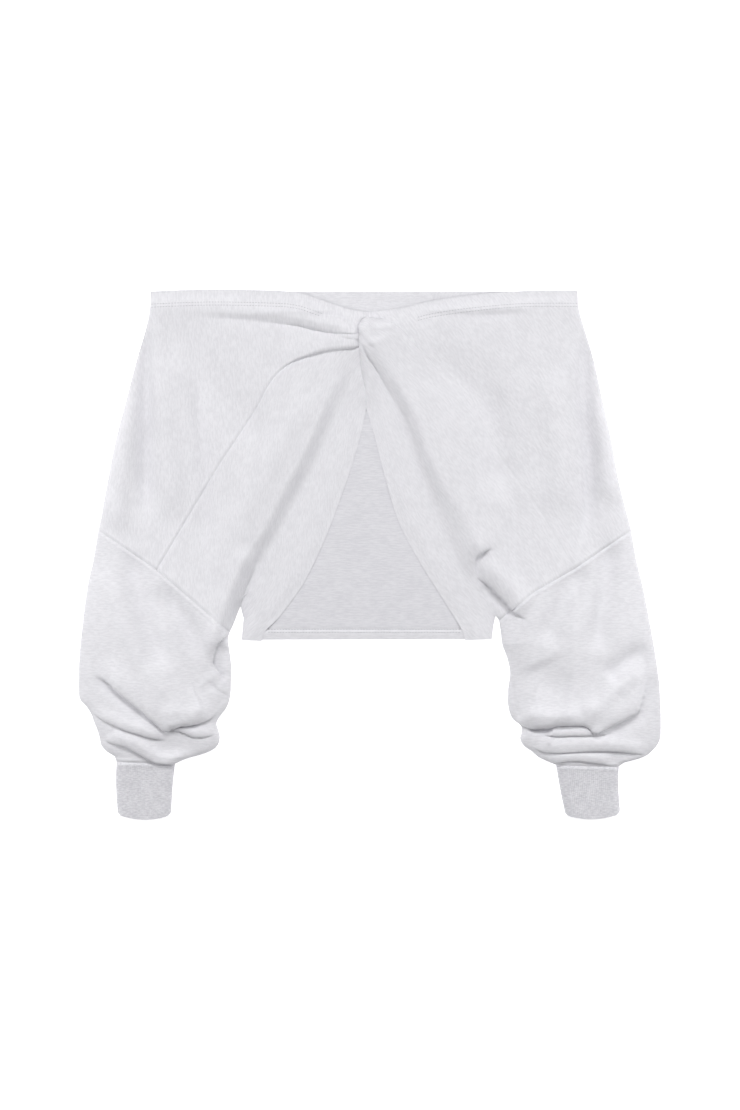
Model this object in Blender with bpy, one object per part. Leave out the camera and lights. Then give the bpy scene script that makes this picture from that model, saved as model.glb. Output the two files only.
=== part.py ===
"""Off-shoulder cropped sweatshirt with a twisted front, laid flat on its back, face up.

Points are worked out in millimetres and become metres when a mesh is made. X runs across the garment, Y
runs from the hem to the neck, and Z stands up from the surface that it lies on. Left and right are as seen
from above. The top skin of the whole garment is one height over X and Y: a rest height, soft puffs and the
folds. Each piece is the stretch of that skin between its own seams.
"""

import collections
import math

import bmesh
import bpy
import numpy as np

MM = 0.001

# Cloth and seams
CLOTH = 2.0
HEM_CLOTH = 3.6
NECK_HEM_ROWS = 2
NECK_HEM_DEPTH = 16.0
HEM_TOP_Y = -93.5
SEAM_GAP = 0.3
LAY_GAP = 0.3

# Heights of the top skin
REST_HEIGHT = 13.0
EDGE_HEIGHT = CLOTH + LAY_GAP + CLOTH
LEAST_HEIGHT = 7.0
OPENING_SLOPE = 34.0
SIDE_SLOPE = 18.0
HEM_SLOPE = 40.0
STEEPEST = 1.4

# How soon the curve of a piece's first or last row gives way to straight rows
EDGE_HOLD = 4

# Rows and columns of each piece
ARC_STEPS = 3
UPPER_TOP_COLUMNS = 15
UPPER_BACK_COLUMNS = 5
RAGLAN_ROWS = 17
FRONT_COLUMNS = 16
SLEEVE_TOP_COLUMNS = 15
SLEEVE_BACK_COLUMNS = 4
CUFF_RIBS = 21
RIB_RISE = 0.5

Puff = collections.namedtuple("Puff", "name x y reach_x reach_y rise")
Roll = collections.namedtuple("Roll", "name rise width tail trough line")
Soft = collections.namedtuple("Soft", "name rise width line")
Section = collections.namedtuple("Section", "outer_x outer_y inner_x inner_y")
Edge = collections.namedtuple("Edge", "y outer_middle outer_reach inner_middle inner_reach")
Side = collections.namedtuple(
    "Side", "name turn outer neck raglan back_raglan seam sections cuff armpit side_seam opening"
)

# How the folds along the two sides of the garment round off, from the cuff to the neck
EDGES = (
    Edge(-335, 6.0, 10, 6.0, 10),
    Edge(-262, 6.5, 13, 6.5, 13),
    Edge(-245, 9.0, 24, 8.0, 22),
    Edge(-200, 11.0, 40, 9.0, 34),
    Edge(-140, 11.0, 48, 8.0, 34),
    Edge(-96, 10.0, 42, 4.3, 18),
    Edge(-40, 8.0, 32, 4.3, 18),
    Edge(30, 6.5, 16, 4.3, 18),
    Edge(330, 6.0, 9, 4.3, 18),
)

PUFFS = (
    Puff("left shoulder", -215, 190, 95, 110, 3.5),
    Puff("right shoulder", 212, 190, 95, 110, 3.5),
    Puff("left elbow", -266, -90, 85, 80, 17),
    Puff("right elbow", 264, -90, 85, 80, 17),
    Puff("left gathers", -268, -205, 75, 34, 13),
    Puff("right gathers", 276, -205, 75, 34, 13),
    Puff("knot", -2, 268, 34, 26, 8),
    Puff("left front", -110, 110, 70, 80, 2),
    Puff("right front", 110, 110, 70, 80, 2),
)

# A roll stands on the left of its line, seen along it, and falls steeply into a crease there
ROLLS = (
    Roll("left neck", 4.5, 9, 13, 1, ((-196, 297), (-167, 291), (-104, 288), (-58, 280), (-15, 276))),
    Roll("left raglan", 5, 9, 16, 1.5, ((-138, 190), (-108, 233), (-83, 246), (-50, 256), (-14, 258))),
    Roll(
        "knot edge", 7, 8, 20, 2.5,
        ((34, 303), (2, 297), (-10, 289), (-14, 278), (-14, 258), (-8, 208), (-4, 160)),
    ),
    Roll("right front", 4.5, 9, 24, 1.5, ((-10, 266), (0, 240), (17, 214), (36, 180), (62, 130))),
    Roll("right raglan", 3, 8, 14, 1, ((72, 244), (46, 272), (35, 285), (19, 296))),
    Roll("left underarm", 7, 11, 24, 2, ((-152, -92), (-162, -74), (-154, -52), (-147, -29), (-138, 4))),
    Roll(
        "right underarm", 7, 11, 24, 2,
        ((142, 16), (132, -5), (131, -23), (138, -42), (158, -58), (186, -80)),
    ),
    Roll(
        "left pouch", 10, 13, 26, 3,
        ((-342, -140), (-300, -180), (-271, -204), (-250, -216), (-222, -211), (-190, -206)),
    ),
    Roll(
        "left second gather", 6, 8, 10, 2,
        ((-352, -196), (-312, -215), (-279, -227), (-248, -235), (-215, -240)),
    ),
    Roll(
        "left lowest gather", 8, 9, 10, 2,
        ((-345, -226), (-317, -240), (-291, -251), (-266, -257), (-215, -257)),
    ),
    Roll(
        "right pouch", 10, 13, 26, 3,
        ((172, -203), (226, -217), (276, -212), (308, -204), (334, -187), (352, -150)),
    ),
    Roll(
        "right second gather", 5, 7, 9, 2,
        ((190, -232), (225, -229), (250, -231), (278, -229), (310, -220)),
    ),
    Roll(
        "right lowest gather", 8, 8, 10, 2,
        ((205, -245), (237, -247), (275, -245), (308, -243), (345, -248)),
    ),
    Roll(
        "left sleeve pocket", 4, 8, 14, 1.5,
        ((-170, -175), (-178, -160), (-194, -137), (-194, -122), (-180, -103)),
    ),
)

# A ridge that falls off softly on both sides, or a trough where its rise is below nothing
SOFT_FOLDS = (
    Soft("left outer trough", -3, 9, ((-275, 300), (-281, 260), (-287, 198), (-289, 94), (-277, 27))),
    Soft("right outer trough", -3, 9, ((268, 290), (270, 240), (268, 177), (262, 94), (257, 31))),
    Soft("left front valley", -5, 15, ((-40, 190), (-60, 146), (-88, 92), (-112, 44), (-138, -6))),
    Soft("right front valley", -4, 14, ((50, 150), (67, 123), (96, 60), (125, 4), (138, -40))),
    Soft("right neck trough", -2.5, 10, ((55, 284), (110, 285), (167, 288), (230, 300))),
    Soft("left sleeve valley", -4, 16, ((-300, 5), (-290, -40), (-262, -80), (-220, -120))),
    Soft("right sleeve valley", -3.5, 16, ((300, 10), (292, -50), (285, -110), (300, -160))),
)

# Where the two halves of the front cross, from the neck down to the top of the front opening
CROSSING = (
    (10, 304.5), (2, 297), (-9.5, 288), (-13.5, 278),
    (-14.2, 258), (-11.7, 235), (-8, 208), (-4.8, 183),
)

LEFT = Side(
    name="left",
    turn=-1,
    outer=(
        (-274, 329), (-275, 306), (-280, 281), (-291, 244), (-304, 194),
        (-317, 144), (-327, 94), (-335, 50), (-339, 31),
    ),
    neck=(
        (-274, 329), (-200, 331.5), (-118, 330), (-88, 327),
        (-62, 319), (-33, 309), (-10, 304), (10, 304.5),
    ),
    raglan=(
        (-14.2, 258), (-50, 256), (-83, 246), (-108, 232), (-125, 213),
        (-139, 187), (-167, 143), (-196, 98), (-265, -19),
    ),
    back_raglan=((-75, 329), (-265, -19)),
    seam=((-339, 31), (-265, -19), (-175, -96)),
    sections=(
        Section(-345, -6, -177, -106),
        Section(-352, -38, -175, -120),
        Section(-358, -84, -173, -137),
        Section(-362, -125, -173, -156),
        Section(-363, -158, -174, -175),
        Section(-362, -178, -178, -189),
        Section(-353, -189, -186, -200),
        Section(-347, -199, -191, -209),
        Section(-344, -208, -189, -218),
        Section(-340, -218, -187, -227),
        Section(-337, -228, -189, -236),
        Section(-335, -237, -196, -243),
        Section(-328, -245, -210, -249),
        Section(-319, -251, -229, -254),
        Section(-316.5, -258, -243, -260),
    ),
    cuff=(
        Section(-316.5, -258, -243, -260),
        Section(-317, -290, -246, -290),
        Section(-315, -326, -248, -327),
    ),
    armpit=((-175, -96), (-169, -83), (-162, -64)),
    side_seam=((-162, -64), (-158, -79), (-160.5, -106)),
    opening=(
        (-4.8, 183), (-10.6, 155), (-23.5, 110), (-43, 54), (-62, 7),
        (-86, -40), (-115, -79), (-131, -95), (-135, -107.5),
    ),
)

RIGHT = Side(
    name="right",
    turn=1,
    outer=(
        (259, 330), (261, 306), (268, 281), (279, 244), (290, 194),
        (301, 144), (310, 94), (321, 50), (326, 31),
    ),
    neck=((259, 330), (190, 329.5), (125, 324), (75, 317), (42, 309), (10, 304.5)),
    raglan=(
        (2, 297), (20, 294), (40, 281), (62, 256), (96, 223),
        (125, 186), (154, 136), (183, 94), (208, 60), (255, -17),
    ),
    back_raglan=((75, 329), (255, -17)),
    seam=((326, 31), (255, -17), (201, -48), (161, -82)),
    sections=(
        Section(332, -5, 163, -96),
        Section(340, -38, 165, -112),
        Section(348, -80, 171, -129),
        Section(355, -120, 174.5, -147),
        Section(360, -155, 172, -167),
        Section(362, -184, 172, -187),
        Section(362.5, -204, 177, -203),
        Section(362.5, -218, 188, -213),
        Section(362, -228, 189, -221),
        Section(358, -237, 187, -229),
        Section(352, -244, 192, -238),
        Section(345, -250, 202, -245),
        Section(333, -255, 210, -252),
        Section(318, -259, 220, -257),
        Section(310.5, -264, 232, -262),
    ),
    cuff=(
        Section(310.5, -264, 232, -262),
        Section(310, -290, 236.5, -290),
        Section(312, -325, 243, -327),
    ),
    armpit=((161, -82), (159.5, -79), (157, -76)),
    side_seam=((157, -76), (154, -90), (152.5, -105)),
    opening=(
        (-4.8, 183), (4, 155), (17, 104), (35.7, 42), (61, -6.5),
        (82, -40.5), (98, -66), (115, -94), (118.5, -106.5),
    ),
)

MATERIALS = {
    "melange fleece": ((0.80, 0.80, 0.83, 1.0), 0.92),
    "melange loop side": ((0.74, 0.74, 0.77, 1.0), 0.95),
    "melange rib": ((0.66, 0.66, 0.69, 1.0), 0.93),
}


def lengths_along(line):
    """How far along a chain each of its points is, from 0 to 1."""
    steps = np.hypot(*np.diff(line, axis=0).T)
    return np.concatenate([[0], np.cumsum(steps)]) / steps.sum()


def along(line, shares):
    """Points on a chain of straight runs, at the given shares of its length."""
    line = np.array(line, float)
    reached = lengths_along(line)
    return np.stack([np.interp(shares, reached, line[:, i]) for i in (0, 1)], axis=-1)


def smooth(points, steps=6):
    """A smooth curve through the given points, as a fine chain."""
    p = np.array(points, float)
    before = np.vstack([p[0], p[:-1]])
    after = np.vstack([p[1:], p[-1]])
    slope = (after - before) / 2
    made = [p[0]]
    for i in range(len(p) - 1):
        for t in np.arange(1, steps + 1) / steps:
            made.append(
                (2 * t**3 - 3 * t**2 + 1) * p[i]
                + (t**3 - 2 * t**2 + t) * slope[i]
                + (3 * t**2 - 2 * t**3) * p[i + 1]
                + (t**3 - t**2) * slope[i + 1]
            )
    return np.array(made)


def shifted(line, amount):
    """The chain moved to its left by an amount, with mitred corners."""
    line = np.array(line, float)
    run = np.diff(line, axis=0)
    run /= np.hypot(*run.T)[:, None]
    normal = np.stack([-run[:, 1], run[:, 0]], axis=-1)
    first = np.vstack([normal[:1], normal])
    second = np.vstack([normal, normal[-1:]])
    return line + amount * (first + second) / (1 + (first * second).sum(axis=1))[:, None]


def spread(line, count):
    """Shares along a chain that take in each of its corners, with the longest gaps halved up to the count."""
    shares = list(lengths_along(np.array(line, float)))
    while len(shares) < count:
        i = int(np.argmax(np.diff(shares)))
        shares.insert(i + 1, (shares[i] + shares[i + 1]) / 2)
    return np.array(shares)


def take_in(places, corners):
    """The places with the nearest one moved onto each of the corners."""
    for corner in corners:
        places[np.argmin(np.abs(places - corner))] = corner


def ease(t):
    """A smooth step from 0 to 1."""
    t = np.clip(t, 0, 1)
    return t * t * (3 - 2 * t)


def dome(reach):
    """A quarter round that rises from 0 at an edge to 1 where the reach is 1 or more."""
    t = 1 - np.clip(reach, 0, 1)
    return np.sqrt(1 - t * t)


def distance(line, x, y):
    """The distance of each place from a chain, positive on its left, and the nearest point's share of it."""
    steps = np.diff(line, axis=0)
    sizes = np.hypot(*steps.T)
    starts = np.concatenate([[0], np.cumsum(sizes)])
    nearest = np.full(x.shape, np.inf)
    signed = np.zeros(x.shape)
    share = np.zeros(x.shape)
    for i, (run_x, run_y) in enumerate(steps):
        from_x, from_y = x - line[i, 0], y - line[i, 1]
        t = np.clip((from_x * run_x + from_y * run_y) / sizes[i] ** 2, 0, 1)
        away = np.hypot(from_x - t * run_x, from_y - t * run_y)
        closer = away < nearest
        nearest = np.where(closer, away, nearest)
        signed = np.where(closer, np.where(run_x * from_y >= run_y * from_x, away, -away), signed)
        share = np.where(closer, (starts[i] + t * sizes[i]) / starts[-1], share)
    return signed, share


def fade(share):
    """A fold's strength along its line: nothing at both ends, and full in the middle."""
    return ease(np.minimum(share, 1 - share) / 0.22)


def roll_height(roll, x, y):
    """The height that a roll and the crease beside it add."""
    away, share = distance(smooth(roll.line), x, y)
    beyond = np.exp(-((np.maximum(away - roll.width, 0) / roll.tail) ** 2))
    over = roll.rise * dome(away / roll.width) * beyond - roll.trough * np.exp(-np.abs(away) / 3)
    under = -roll.trough * np.exp(-np.abs(away) / roll.width)
    return fade(share) * np.where(away > 0, over, under)


def soft_height(fold, x, y):
    """The height that a soft ridge or trough adds."""
    away, share = distance(smooth(fold.line), x, y)
    return fold.rise * fade(share) * np.exp(-((away / fold.width) ** 2))


def free_height(x, y):
    """The height of the top skin, before it comes down to the edges of the front opening."""
    height = np.full(x.shape, REST_HEIGHT)
    for puff in PUFFS:
        away = ((x - puff.x) / puff.reach_x) ** 2 + ((y - puff.y) / puff.reach_y) ** 2
        height += puff.rise * np.exp(-away)
    for roll in ROLLS:
        height += roll_height(roll, x, y)
    for fold in SOFT_FOLDS:
        height += soft_height(fold, x, y)
    return np.maximum(height, LEAST_HEIGHT)


def edge_height(y):
    """How high a front's edge lies: on the back panel, or on its hem."""
    return EDGE_HEIGHT + (HEM_CLOTH - CLOTH) * ease((HEM_TOP_Y + HEM_SLOPE - y) / HEM_SLOPE)


def top_height(x, y):
    """The height of the garment's top skin inside its outline."""
    x, y = np.asarray(x, float), np.asarray(y, float)
    away = np.minimum(*(np.abs(distance(smooth(side.opening), x, y)[0]) for side in (LEFT, RIGHT)))
    base = edge_height(y)
    return base + (free_height(x, y) - base) * ease(0.08 + 0.92 * away / OPENING_SLOPE)


def upright_thickness(x, y):
    """The cloth's thickness measured straight down through its slope."""
    step = 1.0
    rise_x = (top_height(x + step, y) - top_height(x - step, y)) / (2 * step)
    rise_y = (top_height(x, y + step) - top_height(x, y - step)) / (2 * step)
    return CLOTH * np.minimum(np.sqrt(1 + rise_x**2 + rise_y**2), STEEPEST)


def at_edge(field, y):
    """One of the edge sizes at a place along the garment."""
    return np.interp(y, [row.y for row in EDGES], [getattr(row, field) for row in EDGES])


def patch(first, last, start, end, shares):
    """Points inside four edges. The first and last run down, and the start and end run across."""
    down = np.linspace(0, 1, len(first))[:, None, None]
    u = shares[:, :, None]
    ruled = (1 - u) * first[:, None] + u * last[:, None]
    start_row = along(start, shares.ravel()).reshape(*shares.shape, 2)
    end_row = along(end, shares.ravel()).reshape(*shares.shape, 2)
    straight_start = (1 - u) * first[0] + u * last[0]
    straight_end = (1 - u) * first[-1] + u * last[-1]
    start_bow = (1 - down) ** EDGE_HOLD * (start_row - straight_start)
    end_bow = down**EDGE_HOLD * (end_row - straight_end)
    return ruled + start_bow + end_bow


def arc_places(middle, reach):
    """How far in from an edge the points of its foot and of its crown lie."""
    turn = np.linspace(0, math.pi / 2, ARC_STEPS + 1)
    return middle * (1 - np.sin(turn))[::-1], reach * (1 - np.cos(turn))


def foot_height(away, middle):
    """The height of the rounded foot under a fold."""
    return middle * (1 - dome(away / middle))


def inner_skin(outer, thickness, folded, closed):
    """The skin one thickness inside: square to the cloth at folded columns, and straight down elsewhere."""
    if closed:
        run = np.roll(outer, -1, axis=1) - np.roll(outer, 1, axis=1)
    else:
        run = np.gradient(outer, axis=1)
    from_start = outer[..., :2] - outer[:, :1, :2]
    farthest = np.argmax(np.hypot(from_start[..., 0], from_start[..., 1]), axis=1)
    across = from_start[np.arange(len(outer)), farthest]
    across /= np.hypot(across[:, 0], across[:, 1])[:, None]
    level = (run[..., :2] * across[:, None]).sum(axis=-1)
    size = np.hypot(level, run[..., 2])
    top = outer[..., 2].argmax(axis=1)
    sign = np.sign(level[np.arange(len(outer)), top])[:, None]
    out_level, out_up = -run[..., 2] / size * sign, level / size * sign
    full = np.cross(run, np.gradient(outer, axis=0))
    steepness = np.minimum(np.sqrt((full**2).sum(axis=-1)) / np.maximum(np.abs(full[..., 2]), 1e-6), STEEPEST)
    out_level = np.where(folded, out_level, 0)
    out_up = np.where(folded, out_up, np.sign(out_up) * steepness)
    inward = np.dstack([across[:, None, 0] * out_level, across[:, None, 1] * out_level, out_up])
    return outer - thickness[..., None] * inward


def material(name):
    """The plain cloth material of that name, made once."""
    if name in bpy.data.materials:
        return bpy.data.materials[name]
    made = bpy.data.materials.new(name)
    made.use_nodes = True
    colour, roughness = MATERIALS[name]
    shader = made.node_tree.nodes["Principled BSDF"]
    shader.inputs["Base Color"].default_value = colour
    shader.inputs["Roughness"].default_value = roughness
    shader.inputs["Metallic"].default_value = 0.0
    made.diffuse_color = colour
    return made


def add_object(name, bm, cloth):
    """A named object with its material, from a closed mesh."""
    bmesh.ops.recalc_face_normals(bm, faces=bm.faces)
    mesh = bpy.data.meshes.new(name)
    bm.to_mesh(mesh)
    bm.free()
    mesh.materials.append(material(cloth))
    mesh.shade_smooth()
    mesh.set_sharp_from_angle(angle=math.radians(50))
    made = bpy.data.objects.new(name, mesh)
    bpy.context.scene.collection.objects.link(made)
    return made


def wall(name, outer, inner, cloth, closed):
    """A closed wall between two skins of rows and columns. The columns of a tube run all the way round."""
    rows, columns = outer.shape[:2]
    last = columns if closed else columns - 1
    bm = bmesh.new()
    skins = [[[bm.verts.new(point * MM) for point in row] for row in skin] for skin in (outer, inner)]
    for j in range(last):
        k = (j + 1) % columns
        for i in range(rows - 1):
            for skin in skins:
                bm.faces.new((skin[i][j], skin[i][k], skin[i + 1][k], skin[i + 1][j]))
        for i in (0, rows - 1):
            bm.faces.new((skins[0][i][j], skins[0][i][k], skins[1][i][k], skins[1][i][j]))
    if not closed:
        for j in (0, columns - 1):
            for i in range(rows - 1):
                bm.faces.new((skins[0][i][j], skins[0][i + 1][j], skins[1][i + 1][j], skins[1][i][j]))
    return add_object(name, bm, cloth)


def raglan_chain(side):
    """The corners of the front raglan seam, which both of its pieces share."""
    return along(smooth(side.raglan), np.linspace(0, 1, RAGLAN_ROWS + 1))


def crossing_part(side):
    """The part of the crossing above this side's raglan seam, and the part below it."""
    corners = np.array(CROSSING, float)
    meets = int(np.argmin(np.hypot(*(corners - side.raglan[0]).T)))
    return corners[:meets], corners[meets:]


def upper_sleeve(side):
    """The raglan upper sleeve, from the back raglan seam round the outer fold to the front raglan seam."""
    front = np.vstack([crossing_part(side)[0], raglan_chain(side)])
    front = shifted(front, side.turn * SEAM_GAP / 2)
    share = lengths_along(front)
    seam = shifted(side.seam, side.turn * -SEAM_GAP / 2)
    edge = along(smooth(side.outer), share)
    edge[-1] = seam[0]
    seam[1, 0] += side.turn * SEAM_GAP
    front[-1] = seam[1]
    back = along(shifted(side.back_raglan, side.turn * SEAM_GAP / 2), share)
    back[-1] = front[-1]
    neck = smooth(side.neck)
    neck[-1] = front[0]

    middle, reach = at_edge("outer_middle", edge[:, 1]), at_edge("outer_reach", edge[:, 1])
    top_size, back_size = np.hypot(*(front - edge).T), np.hypot(*(back - edge).T)
    top_away, back_away = [], []
    for i in range(len(edge)):
        foot, crown = arc_places(middle[i], reach[i])
        top_flat = np.linspace(crown[-1], top_size[i], UPPER_TOP_COLUMNS + 1)[1:]
        back_flat = np.linspace(foot[-1], back_size[i], UPPER_BACK_COLUMNS + 1)[1:]
        top_away.append(np.concatenate([crown, top_flat]))
        back_away.append(np.concatenate([foot, back_flat]))
    top_away, back_away = np.array(top_away), np.array(back_away)
    middle, reach = middle[:, None], reach[:, None]

    top = patch(edge, front, neck, seam[:2], top_away / top_size[:, None])
    height = middle + (top_height(top[..., 0], top[..., 1]) - middle) * dome(top_away / reach)
    under = patch(edge, back, (edge[0], back[0]), (edge[-1], back[-1]), back_away / back_size[:, None])
    low = foot_height(back_away, middle)
    outer = np.concatenate([np.dstack([under, low])[:, :0:-1], np.dstack([top, height])], axis=1)
    thickness = np.full(outer.shape[:2], CLOTH)
    thickness[:NECK_HEM_ROWS] = HEM_CLOTH
    column = np.arange(outer.shape[1])
    folded = (column > UPPER_BACK_COLUMNS) & (column < UPPER_BACK_COLUMNS + 2 * ARC_STEPS)
    inner = inner_skin(outer, thickness, folded, closed=False)
    wall("upper_sleeve_" + side.name, outer, inner, "melange fleece", closed=False)


def front_panel(side):
    """The batwing front, from the raglan seam to the edge of the front opening."""
    first = shifted(raglan_chain(side), side.turn * -SEAM_GAP / 2)
    start = shifted(crossing_part(side)[1], side.turn * SEAM_GAP / 2)
    seam = shifted(side.seam[1:], side.turn * -SEAM_GAP / 2)
    last = along(smooth(side.opening), np.linspace(0, 1, len(first)))
    end = np.vstack([seam, side.armpit[1:], side.side_seam[1:], side.opening[-1:]])
    first[0], first[-1] = start[0], end[0]
    last[0] = start[-1]
    columns = max(FRONT_COLUMNS, len(end), len(start))
    begin, finish = spread(start, columns), spread(end, columns)
    down = np.linspace(0, 1, len(first))[:, None]
    outline = patch(first, last, start, end, (1 - down) * begin + down * finish)
    x, y = outline[..., 0], outline[..., 1]
    away = np.abs(distance(np.array(side.armpit + side.side_seam[1:], float), x, y)[0])
    base = edge_height(y)
    height = base + (top_height(x, y) - base) * dome(away / SIDE_SLOPE)
    outer = np.dstack([x, y, height])
    under = np.dstack([x, y, np.maximum(height - upright_thickness(x, y), base - CLOTH)])
    wall("front_" + side.name, outer, under, "melange fleece", closed=False)


def tube_rows(rows, top_columns, back_columns):
    """The outer skin of a tube that lies flat, from its rows of outer-to-inner chains."""
    made = []
    for row in rows:
        row = np.array(row, float)
        outer, inner = row[0], row[-1]
        size = np.hypot(*np.diff(row, axis=0).T).sum()
        outer_y, inner_y = outer[1], inner[1]
        outer_middle, inner_middle = at_edge("outer_middle", outer_y), at_edge("inner_middle", inner_y)
        outer_foot, outer_crown = arc_places(outer_middle, at_edge("outer_reach", outer_y))
        inner_foot, inner_crown = arc_places(inner_middle, at_edge("inner_reach", inner_y))
        flat = np.linspace(outer_crown[-1], size - inner_crown[-1], top_columns + 1)[1:-1]
        top_away = np.concatenate([outer_crown, flat, (size - inner_crown)[::-1]])
        flat = np.linspace(size - inner_foot[-1], outer_foot[-1], back_columns + 1)[1:-1]
        back_away = np.concatenate([(size - inner_foot)[1:], flat, outer_foot[:0:-1]])
        for places in (top_away, back_away):
            take_in(places, lengths_along(row)[1:-1] * size)
        middle = np.interp(top_away, [0, size], [outer_foot[-1], inner_foot[-1]])
        top = along(row, top_away / size)
        shape = dome(top_away / outer_crown[-1]) * dome((size - top_away) / inner_crown[-1])
        height = middle + (top_height(top[:, 0], top[:, 1]) - middle) * shape
        under = along(row, back_away / size)
        low = np.maximum(
            foot_height(back_away, outer_foot[-1]),
            foot_height(size - back_away, inner_foot[-1]),
        )
        made.append(np.vstack([np.column_stack([top, height]), np.column_stack([under, low])]))
    return np.array(made)


def tube_inside(outer, top_columns):
    """The inner skin of a tube, whose folded columns are those of its two rounded sides."""
    column = np.arange(outer.shape[1])
    flat_end = ARC_STEPS + top_columns
    folded = (column < ARC_STEPS) | ((column > flat_end) & (column < flat_end + 2 * ARC_STEPS)) | (
        column > outer.shape[1] - ARC_STEPS
    )
    return inner_skin(outer, np.full(outer.shape[:2], CLOTH), folded, closed=True)


def lower_sleeve(side):
    """The full lower sleeve, from the slanted sleeve seam to the gathers above the cuff."""
    sections = [((s.outer_x, s.outer_y), (s.inner_x, s.inner_y)) for s in side.sections]
    sections[-1] = shifted(sections[-1], side.turn * -SEAM_GAP / 2)
    seam = shifted(side.seam, side.turn * SEAM_GAP / 2)
    outer = tube_rows([seam, *sections], SLEEVE_TOP_COLUMNS, SLEEVE_BACK_COLUMNS)
    inner = tube_inside(outer, SLEEVE_TOP_COLUMNS)
    wall("lower_sleeve_" + side.name, outer, inner, "melange fleece", closed=True)


def cuff(side):
    """The rib cuff, with its ribs raised on the side that shows."""
    rows = [((s.outer_x, s.outer_y), (s.inner_x, s.inner_y)) for s in side.cuff]
    rows[0] = shifted(rows[0], side.turn * SEAM_GAP / 2)
    outer = tube_rows(rows, 2 * CUFF_RIBS, SLEEVE_BACK_COLUMNS)
    inner = tube_inside(outer, 2 * CUFF_RIBS)
    ribbed = np.arange(ARC_STEPS, ARC_STEPS + 2 * CUFF_RIBS, 2)
    outer[:, ribbed, 2] += RIB_RISE
    wall("cuff_" + side.name, outer, inner, "melange rib", closed=True)


def back_panel():
    """The back, flat on the surface, with its turned hems raised on the inside that shows."""
    half = SEAM_GAP / 2
    left, right = (
        np.vstack(
            [
                shifted(side.back_raglan, side.turn * -half),
                shifted(side.seam[1:], side.turn * -half)[1:],
                side.armpit[1:],
                side.side_seam[1:],
            ]
        )
        for side in (LEFT, RIGHT)
    )
    outline = np.vstack([left, right[::-1]])
    bm = bmesh.new()
    bm.faces.new([bm.verts.new((x * MM, y * MM, 0)) for x, y in outline])
    neck_line = LEFT.back_raglan[0][1] - NECK_HEM_DEPTH
    for y in (neck_line, HEM_TOP_Y):
        geometry = bm.verts[:] + bm.edges[:] + bm.faces[:]
        bmesh.ops.bisect_plane(bm, geom=geometry, plane_co=(0, y * MM, 0), plane_no=(0, 1, 0))
    for rise, hems_only in ((CLOTH, False), (HEM_CLOTH - CLOTH, True)):
        level = max(v.co.z for v in bm.verts)
        faces = [f for f in bm.faces if min(v.co.z for v in f.verts) > level - MM / 10]
        if hems_only:
            faces = [f for f in faces if not HEM_TOP_Y * MM < f.calc_center_median().y < neck_line * MM]
            raised = bmesh.ops.extrude_face_region(bm, geom=faces)
            bmesh.ops.delete(bm, geom=faces, context="FACES_KEEP_BOUNDARY")
        else:
            raised = bmesh.ops.extrude_face_region(bm, geom=faces)
        moved = [g for g in raised["geom"] if isinstance(g, bmesh.types.BMVert)]
        bmesh.ops.translate(bm, verts=moved, vec=(0, 0, rise * MM))
    bmesh.ops.triangulate(bm, faces=bm.faces)
    add_object("back", bm, "melange loop side")


def main():
    """Clears the scene and builds each piece."""
    for obj in list(bpy.data.objects):
        bpy.data.objects.remove(obj)
    back_panel()
    for side in (LEFT, RIGHT):
        upper_sleeve(side)
        front_panel(side)
        lower_sleeve(side)
        cuff(side)


main()
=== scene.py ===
"""Dresses the off-shoulder sweatshirt, which lies flat on its back, face up.

Points are worked out in millimetres and become metres when a mesh is made. X runs across the garment, Y
runs from the hem to the neck, and Z stands up from the surface that it lies on. Left and right are as seen
from above.
"""

import enum
import logging
import math
from dataclasses import dataclass, field

import bmesh
import bpy
import numpy as np
from mathutils import Matrix, Vector
from mathutils.bvhtree import BVHTree


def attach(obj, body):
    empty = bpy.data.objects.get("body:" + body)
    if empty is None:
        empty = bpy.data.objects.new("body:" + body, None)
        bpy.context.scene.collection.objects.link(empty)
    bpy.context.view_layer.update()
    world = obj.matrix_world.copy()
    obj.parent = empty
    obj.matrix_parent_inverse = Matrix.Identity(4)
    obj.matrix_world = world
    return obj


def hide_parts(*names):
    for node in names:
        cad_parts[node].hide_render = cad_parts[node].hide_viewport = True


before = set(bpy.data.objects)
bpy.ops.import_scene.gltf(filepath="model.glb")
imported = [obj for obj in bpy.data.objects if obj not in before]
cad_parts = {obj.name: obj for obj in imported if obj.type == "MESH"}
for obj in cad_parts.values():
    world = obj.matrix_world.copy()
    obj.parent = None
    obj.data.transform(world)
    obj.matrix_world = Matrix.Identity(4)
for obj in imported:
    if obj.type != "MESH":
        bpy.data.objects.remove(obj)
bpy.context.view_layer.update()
log = logging.getLogger("sweatshirt")

MM = 0.001
BODY = "root"
NECK_HEM = 16.5
NECK_HEM_START = 50.0
NECK_GAUGE = 4.0
HEM_ROW = -96.5
HEM_ENDS = (-128.0, 114.0)
LEFT_GRAIN, RIGHT_GRAIN = -4.0, 36.0
LEFT_RAGLAN, RIGHT_RAGLAN = 1.1, 0.25
CLOTH_MAP = "cloth"

Line = tuple[tuple[float, float], ...]
Colour = tuple[float, float, float, float]
Grid = np.ndarray
Maps = tuple[Grid, Grid]


# Lines and curves


def lengths_along(line: Grid) -> Grid:
    """How far along a chain each of its points is, from 0 to 1."""
    steps = np.hypot(*np.diff(line, axis=0).T)
    return np.concatenate([[0], np.cumsum(steps)]) / steps.sum()


def along(line: Grid | Line, shares: Grid) -> Grid:
    """Points on a chain of straight runs.

    Args:
        line: The chain's corners.
        shares: How far along its length each point lies, from 0 to 1.

    Returns:
        One point for each share.
    """
    corners = np.array(line, float)
    reached = lengths_along(corners)
    return np.stack([np.interp(shares, reached, corners[:, i]) for i in (0, 1)], axis=-1)


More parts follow.
